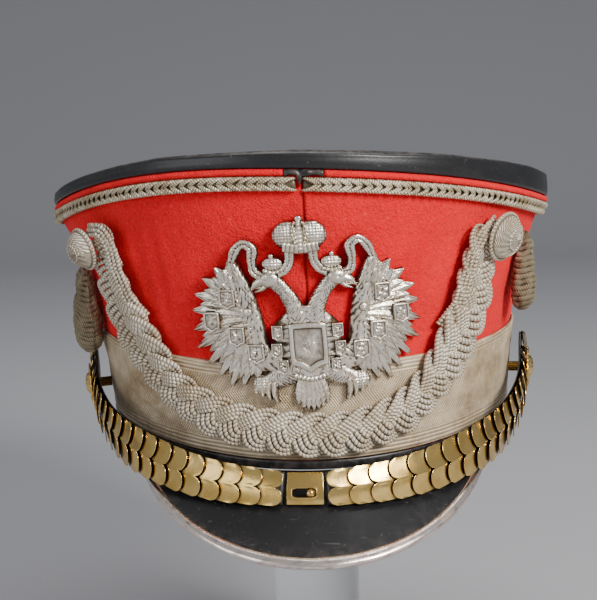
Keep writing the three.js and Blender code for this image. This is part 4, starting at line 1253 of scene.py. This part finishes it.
def strap_route(side):
    """Route of one half of the strap, from the clasp up to its rosette."""
    sign = -1 if side == "left" else 1
    rows = []
    for i, (degrees, height, out) in enumerate(STRAP_ROUTE):
        share = i / (len(STRAP_ROUTE) - 1)
        start = STRAP_START[side] * (1 - share)
        rows.append((sign * degrees + start, height + STRAP_END_HEIGHT[side] * share ** 3, out))
    return Route(rows)


def strap_frame(route, s):
    """Points, directions up the strap and out of it, and half its width at lengths s."""
    share = s / route.length
    half = 6.2 + 2.6 * np.minimum(share * 2.2, 1) - 1.6 * np.maximum(share - 0.85, 0) / 0.15
    lean = math.radians(18) * (1 - np.minimum(share * 1.6, 1))
    across, out = route.get("across", s), route.get("out", s)
    upward = np.sign(across[..., 2:3])
    cos, sin = np.cos(lean)[..., None], np.sin(lean)[..., None]
    wide = across * upward * cos - out * sin
    face = out * cos + across * upward * sin
    return route.get("point", s), wide, face, half


def scale_plates(side):
    """Overlapping plates: each an arched sheet whose free edge is two round lobes."""
    route = strap_route(side)
    pitch = (route.length - 1.0) / SCALE_COUNT
    v = np.linspace(-1, 1, 25)[None]
    u = np.concatenate([np.linspace(0, 0.94, 9), [0.975, 1.0, 0.985, 0.9, 0.0]])[:, None]
    lobe = np.sqrt(np.clip(1 - (2 * np.abs(v) - 1) ** 2, 0, 1))
    parts = []
    for i in range(SCALE_COUNT):
        back = 1.0 + (i + 1) * pitch + 1.5
        tip = 1.0 + i * pitch + 2.6 - 3.0 * lobe
        s = np.clip(back + (tip - back) * u, 0.2, route.length)
        centre, wide, face, half = strap_frame(route, s)
        under = np.array([0.0] * 11 + [1.0] * 3)[:, None]
        lift = 0.7 + 1.25 * u ** 1.5 + 1.3 * (1 - v ** 2) - 0.4 * u ** 8 * (1 - lobe)
        spread = half * (1 + 0.06 * u)
        thick = lift - 0.45 * under
        points = centre + wide * (v * spread)[..., None] + face * thick[..., None]
        # tone: painted shade at each plate's root under the lobes of the plate above it, and on its
        # underside
        tone = np.clip(0.95 - 0.9 * np.exp(-(u * 3.2) ** 2) - 0.85 * under + 0 * v, 0, 1)
        # lower tone towards the rosette, so the painted shade at the roots widens there
        wear_and_shade = 0.75 + 0.25 * np.clip(1.6 - 1.9 * s / route.length, 0, 1)
        rows, cols = points.shape[:2]
        quads = grid_quads(rows, cols, True, False)
        parts.append(part(points, quads, (), None, tone * wear_and_shade))
    return parts


def strap_leather(side):
    """Leather strap behind the plates: a flat band with rounded edges."""
    route = strap_route(side)
    s = np.linspace(0.3, route.length - 0.2, 120)[:, None]
    turn = around(16)[None]
    centre, wide, face, half = strap_frame(route, s + 0 * turn)
    sideways = rounded_cosine(turn, 0.4) * half * 0.99
    points = centre + wide * sideways[..., None] + face * (-0.1 + 0.7 * np.sin(turn))[..., None]
    return bar_surface(points, None, 0.2)


def turned_piece(foot, out, profile, sides=48, petals=0, depth=0.0):
    """A profile of radii and heights turned about a direction, with petals where asked."""
    out = unit(np.asarray(out, float))
    across = unit(np.cross([0.0, 0.0, 1.0] if abs(out[2]) < 0.9 else [1.0, 0.0, 0.0], out))
    up = np.cross(out, across)
    profile = np.asarray(profile, float)
    r, h = profile[:, 0][:, None], profile[:, 1][:, None]
    turn = around(sides)[None]
    wave = depth * np.cos(petals * turn) * r / r.max()
    points = foot + (r + wave)[..., None] * spokes(turn, across, up) + h[..., None] * out
    rise = (h - h.min()) / max(float(np.ptp(h)), 1e-6)
    return bar_surface(points, None, 0.55 + 0.4 * rise)


def rosette(side):
    """Rosette with a petalled disc, a raised eye and the pin behind it."""
    route = strap_route(side)
    s = np.array([ROSETTE_SHARE[side] * route.length])
    centre, _, face, _ = (value[0] for value in strap_frame(route, s))
    a = math.atan2((centre[0] - HEM_LEAN) / HEM_SIDE, -centre[1] / HEM_FRONT)
    stand = np.linalg.norm(centre[:2]) - np.linalg.norm(wall_point(a, centre[2])[:2])
    pin_end = 1.9 - stand
    radius, base = ROSETTE_RADIUS, 2.8
    profile = [
        (0.05, pin_end), (PIN_RADIUS, pin_end), (PIN_RADIUS, base), (radius - 0.6, base - 0.1),
        (radius, base + 0.1), (radius - 0.1, base + 0.6), (radius * 0.85, base + 0.9),
        (radius * 0.62, base + 0.7), (radius * 0.55, base + 1.1), (radius * 0.5, base + 1.7),
        (radius * 0.36, base + 2.4), (radius * 0.18, base + 2.7), (0.05, base + 2.8)]
    return turned_piece(centre, face, profile, 72, 12, 0.35)


def clasp_point(along, up, out):
    """Point of the clasp: along it, up it and out of its leaning face."""
    a = CLASP_ANGLE + along / (HEM_SIDE + 9)
    point = wall_point(a, 0 * along, CLASP_OUT + out - up * math.tan(CLASP_LEAN))
    point[..., 2] = CLASP_MIDDLE + up
    return point


def clasp_plate():
    """Thin plate arched like the scales, with a slot framed by turned-in edges."""
    middle_x, half_x, half_y = 0.5, 6.7, 5.7
    slot_x, slot_y, slot_w, slot_h = 0.1, -1.25, 4.3, 1.65
    sides, rows = 80, 12
    turn = around(sides)
    square = square_reach(turn)
    circle = np.stack([np.cos(turn), np.sin(turn)], -1)
    box = np.clip(square[:, None] * circle, -1, 1)
    oval = circle * np.minimum(square, 1.18)[:, None]
    outer = box * [half_x, half_y] + [middle_x, 0]
    slot = oval * [slot_w, slot_h] + [slot_x, slot_y]
    share = np.linspace(0, 1, rows)[:, None, None]
    flat = slot + (outer - slot) * share
    dome_out = 1.5 - 1.3 * (flat[..., 1] / half_y) ** 2 * 0.7
    lip = 0.25 * np.exp(-(share[..., 0] / 0.06) ** 2)
    top = clasp_point(flat[..., 0], flat[..., 1], dome_out + lip)
    under = clasp_point(flat[::-1, :, 0], flat[::-1, :, 1], dome_out[::-1] - 1.0)
    points = np.concatenate([top, under])
    # tone: painted shade along the slot's turned-in edge, and 0 on the underside
    wear_and_shade = 0.9 - 0.6 * np.exp(-(share[..., 0] / 0.05) ** 2) + 0 * turn
    tone = np.concatenate([wear_and_shade, np.zeros((rows, sides))])
    return part(points, grid_quads(2 * rows, sides, True, True), (), None, tone)


def clasp_stud():
    """Stud in the clasp's slot: a stem with a round head."""
    along, up = np.array(2.4), np.array(-1.25)
    at = clasp_point(along, up, 0.0)
    ahead = clasp_point(along, up, 1.0) - at
    profile = [
        (0.05, -1.2), (1.25, -1.2), (1.25, 1.7), (1.6, 1.9), (1.62, 2.3), (1.45, 2.8), (1.0, 3.2),
        (0.5, 3.38), (0.05, 3.4)]
    return turned_piece(at, ahead, profile, 32)


# Stand

def stand_lathe(profile, sides=128):
    """A profile turned about the upright axis, closed at both ends."""
    profile = np.asarray(profile, float)
    turn = around(sides)[None]
    r, h = profile[:, 0][:, None], profile[:, 1][:, None]
    points = np.stack([r * np.cos(turn), r * np.sin(turn), h + 0 * turn], -1)
    return bar_surface(points)


def bevelled(radius, low, high, bevel):
    """Profile of a disc or rod whose edges are small quarter rounds."""
    turn = np.linspace(0, np.pi / 2, 6)
    lower = np.stack([radius - bevel + bevel * np.sin(turn), low + bevel - bevel * np.cos(turn)], -1)
    upper = np.stack([radius - bevel + bevel * np.cos(turn), high - bevel + bevel * np.sin(turn)], -1)
    return np.concatenate([[(0.5, low)], lower, upper, [(0.5, high)]])


def make_stand():
    cap_top = HEM_ABOVE_TABLE + RIM_MEAN - TOP_SUNK - TOP_THICK - CAP_CLEAR
    post_top = cap_top - CAP_HEIGHT
    foot = stand_lathe(bevelled(FOOT_RADIUS, 0, FOOT_HEIGHT, 1.2))
    post = stand_lathe(bevelled(POST_RADIUS, FOOT_HEIGHT, post_top, 0.3))
    cap = stand_lathe(bevelled(CAP_RADIUS, post_top, cap_top, 0.8))
    make_piece("clear_foot", foot, CLEAR, ("stand_foot",), on_table=True)
    make_piece("clear_post", post, CLEAR, ("stand_post",), on_table=True)
    make_piece("clear_cap", cap, CLEAR, ("stand_cap",), on_table=True)


# The whole object

make_piece("cloth_body", body_of_cloth(), RED, ("crown",))
make_piece("sunken_leather_top", top_of_leather(), LEATHER,
           ("leather_top", "leather_rim"))
make_piece("red_piping", welt_piping(), RED, ("welt",))
make_piece("chevron_braid", chevron_braid() + [braid_core()], BRAID_CORD, ("rim_braid",))
make_piece("leather_keeper", keeper_tab(), LEATHER, ("plume_keeper",))
make_piece("woven_lace", lace_round_body(), LACE, ("lace_band",))
make_piece("hem_binding", hem_binding(), LEATHER, ("hem_band",))
make_piece("visor_leather", visor_leather(), LEATHER, ("visor",))
make_piece("visor_binding", visor_binding(), RIM_METAL, ("visor_rim",))
make_piece("cast_eagle", eagle(), EAGLE_METAL, ("eagle_badge",))
make_piece("plaited_cord", plaited_cord(), SILVER_CORD, ("cord_swag",))
for side in ("left", "right"):
    make_piece(f"thread_boss_{side}", boss(side), SILVER_CORD, (f"boss_{side}",))
    make_piece(f"wound_knot_{side}", side_knot(side), KNOT_CORD, (f"side_knot_{side}",))
    make_piece(f"scale_plates_{side}", scale_plates(side), BRASS, (f"chin_scales_{side}",))
    make_piece(f"strap_leather_{side}", strap_leather(side), LEATHER)
    make_piece(f"strap_rosette_{side}", rosette(side), BRASS, (f"scale_rosette_{side}",))
make_piece("clasp_plate", clasp_plate(), BRASS, ("scale_clasp",))
make_piece("clasp_knob", clasp_stud(), BRASS, ("clasp_stud",))
make_stand()


# Floor, lights and camera

def make_backdrop():
    """Plain sheet: a flat floor that curves up into a wall behind the object, its colour darker further back
    and higher up as painted shade.
    """
    turn = np.linspace(0, np.pi / 2, 24)
    depth = np.concatenate([[-3.0], np.linspace(-1.5, 1.6, 12), 1.6 + 0.9 * np.sin(turn), [2.5]])
    rise = np.concatenate([[0.0], np.zeros(12), 0.9 - 0.9 * np.cos(turn), [5.0]])
    x = np.linspace(-4, 4, 9)
    points = np.stack(np.broadcast_arrays(x[None], depth[:, None], rise[:, None]), -1)
    quads = grid_quads(*points.shape[:2])
    mesh = bpy.data.meshes.new("backdrop")
    mesh.from_pydata(points.reshape(-1, 3).tolist(), [], quads.tolist())
    mesh.polygons.foreach_set("use_smooth", np.ones(len(quads), bool))
    material, tree, shader = new_material("pale_paper", 0.9)
    coords = add_node(tree, "ShaderNodeSeparateXYZ", {0: object_coords(tree)})
    # painted shade: darker towards the back and top of the sheet
    far = ramp(tree, math_node(tree, "ADD", coords.outputs[1], coords.outputs[2]), 0.0, 3.4)
    colour = mix_colour(tree, far, (0.44, 0.443, 0.464), (0.27, 0.273, 0.29))
    tree.links.new(colour, shader.inputs["Base Color"])
    mesh.materials.append(material)
    backdrop = bpy.data.objects.new("backdrop", mesh)
    bpy.context.scene.collection.objects.link(backdrop)


def area_light(name, place, target, size, power, colour=(1, 1, 1)):
    light = bpy.data.lights.new(name, "AREA")
    light.shape = "RECTANGLE"
    light.size, light.size_y = size
    light.energy = power
    light.color = colour
    lamp = bpy.data.objects.new(name, light)
    lamp.location = place
    lamp.rotation_euler = (Vector(target) - Vector(place)).to_track_quat("-Z", "Y").to_euler()
    bpy.context.scene.collection.objects.link(lamp)


def make_lights():
    middle = (0, 0, 0.18)
    area_light("key", (0.95, -1.15, 0.95), middle, (0.5, 0.5), 34, (1.0, 0.975, 0.94))
    area_light("fill", (-1.3, -1.2, 0.5), middle, (1.2, 1.0), 7, (0.95, 0.97, 1.0))
    area_light("top", (0.1, 0.25, 1.4), middle, (1.0, 0.8), 7)
    world = bpy.data.worlds.new("studio")
    world.use_nodes = True
    world.node_tree.nodes["Background"].inputs["Color"].default_value = (0.8, 0.82, 0.86, 1)
    world.node_tree.nodes["Background"].inputs["Strength"].default_value = 0.45
    bpy.context.scene.world = world


def make_camera():
    """Camera from the hat's outlines: distance, height, pitch, turn and roll worked out from them."""
    distance, height, side = 600.0, 138.6, -3.27
    pitch, turn, roll = math.radians(8.43), math.radians(-1.5), math.radians(1.04)
    focal_pixels, image_height = 1348.6, 600

    def unturn(v):
        x, y, z = v
        return Vector((x * math.cos(turn) + y * math.sin(turn), -x * math.sin(turn) + y * math.cos(turn), z))

    right = Vector((1, 0, 0))
    up = Vector((0, math.sin(pitch), math.cos(pitch)))
    ahead = Vector((0, math.cos(pitch), -math.sin(pitch)))
    rolled_right = math.cos(roll) * right - math.sin(roll) * up
    rolled_up = math.sin(roll) * right + math.cos(roll) * up
    lifted = Vector((HAT_SHIFT * MM, 0, (height + HEM_ABOVE_TABLE) * MM))
    place = unturn((side * MM, -distance * MM, 0)) + lifted
    columns = [unturn(rolled_right), unturn(rolled_up), unturn(-ahead)]
    turned = Matrix([[columns[c][r] for c in range(3)] for r in range(3)]).to_4x4()
    data = bpy.data.cameras.new("camera")
    data.sensor_width = 36.0
    data.lens = 36.0 * focal_pixels / image_height
    camera = bpy.data.objects.new("camera", data)
    camera.matrix_world = Matrix.Translation(place) @ turned
    bpy.context.scene.collection.objects.link(camera)
    bpy.context.scene.camera = camera


make_backdrop()
make_lights()
make_camera()
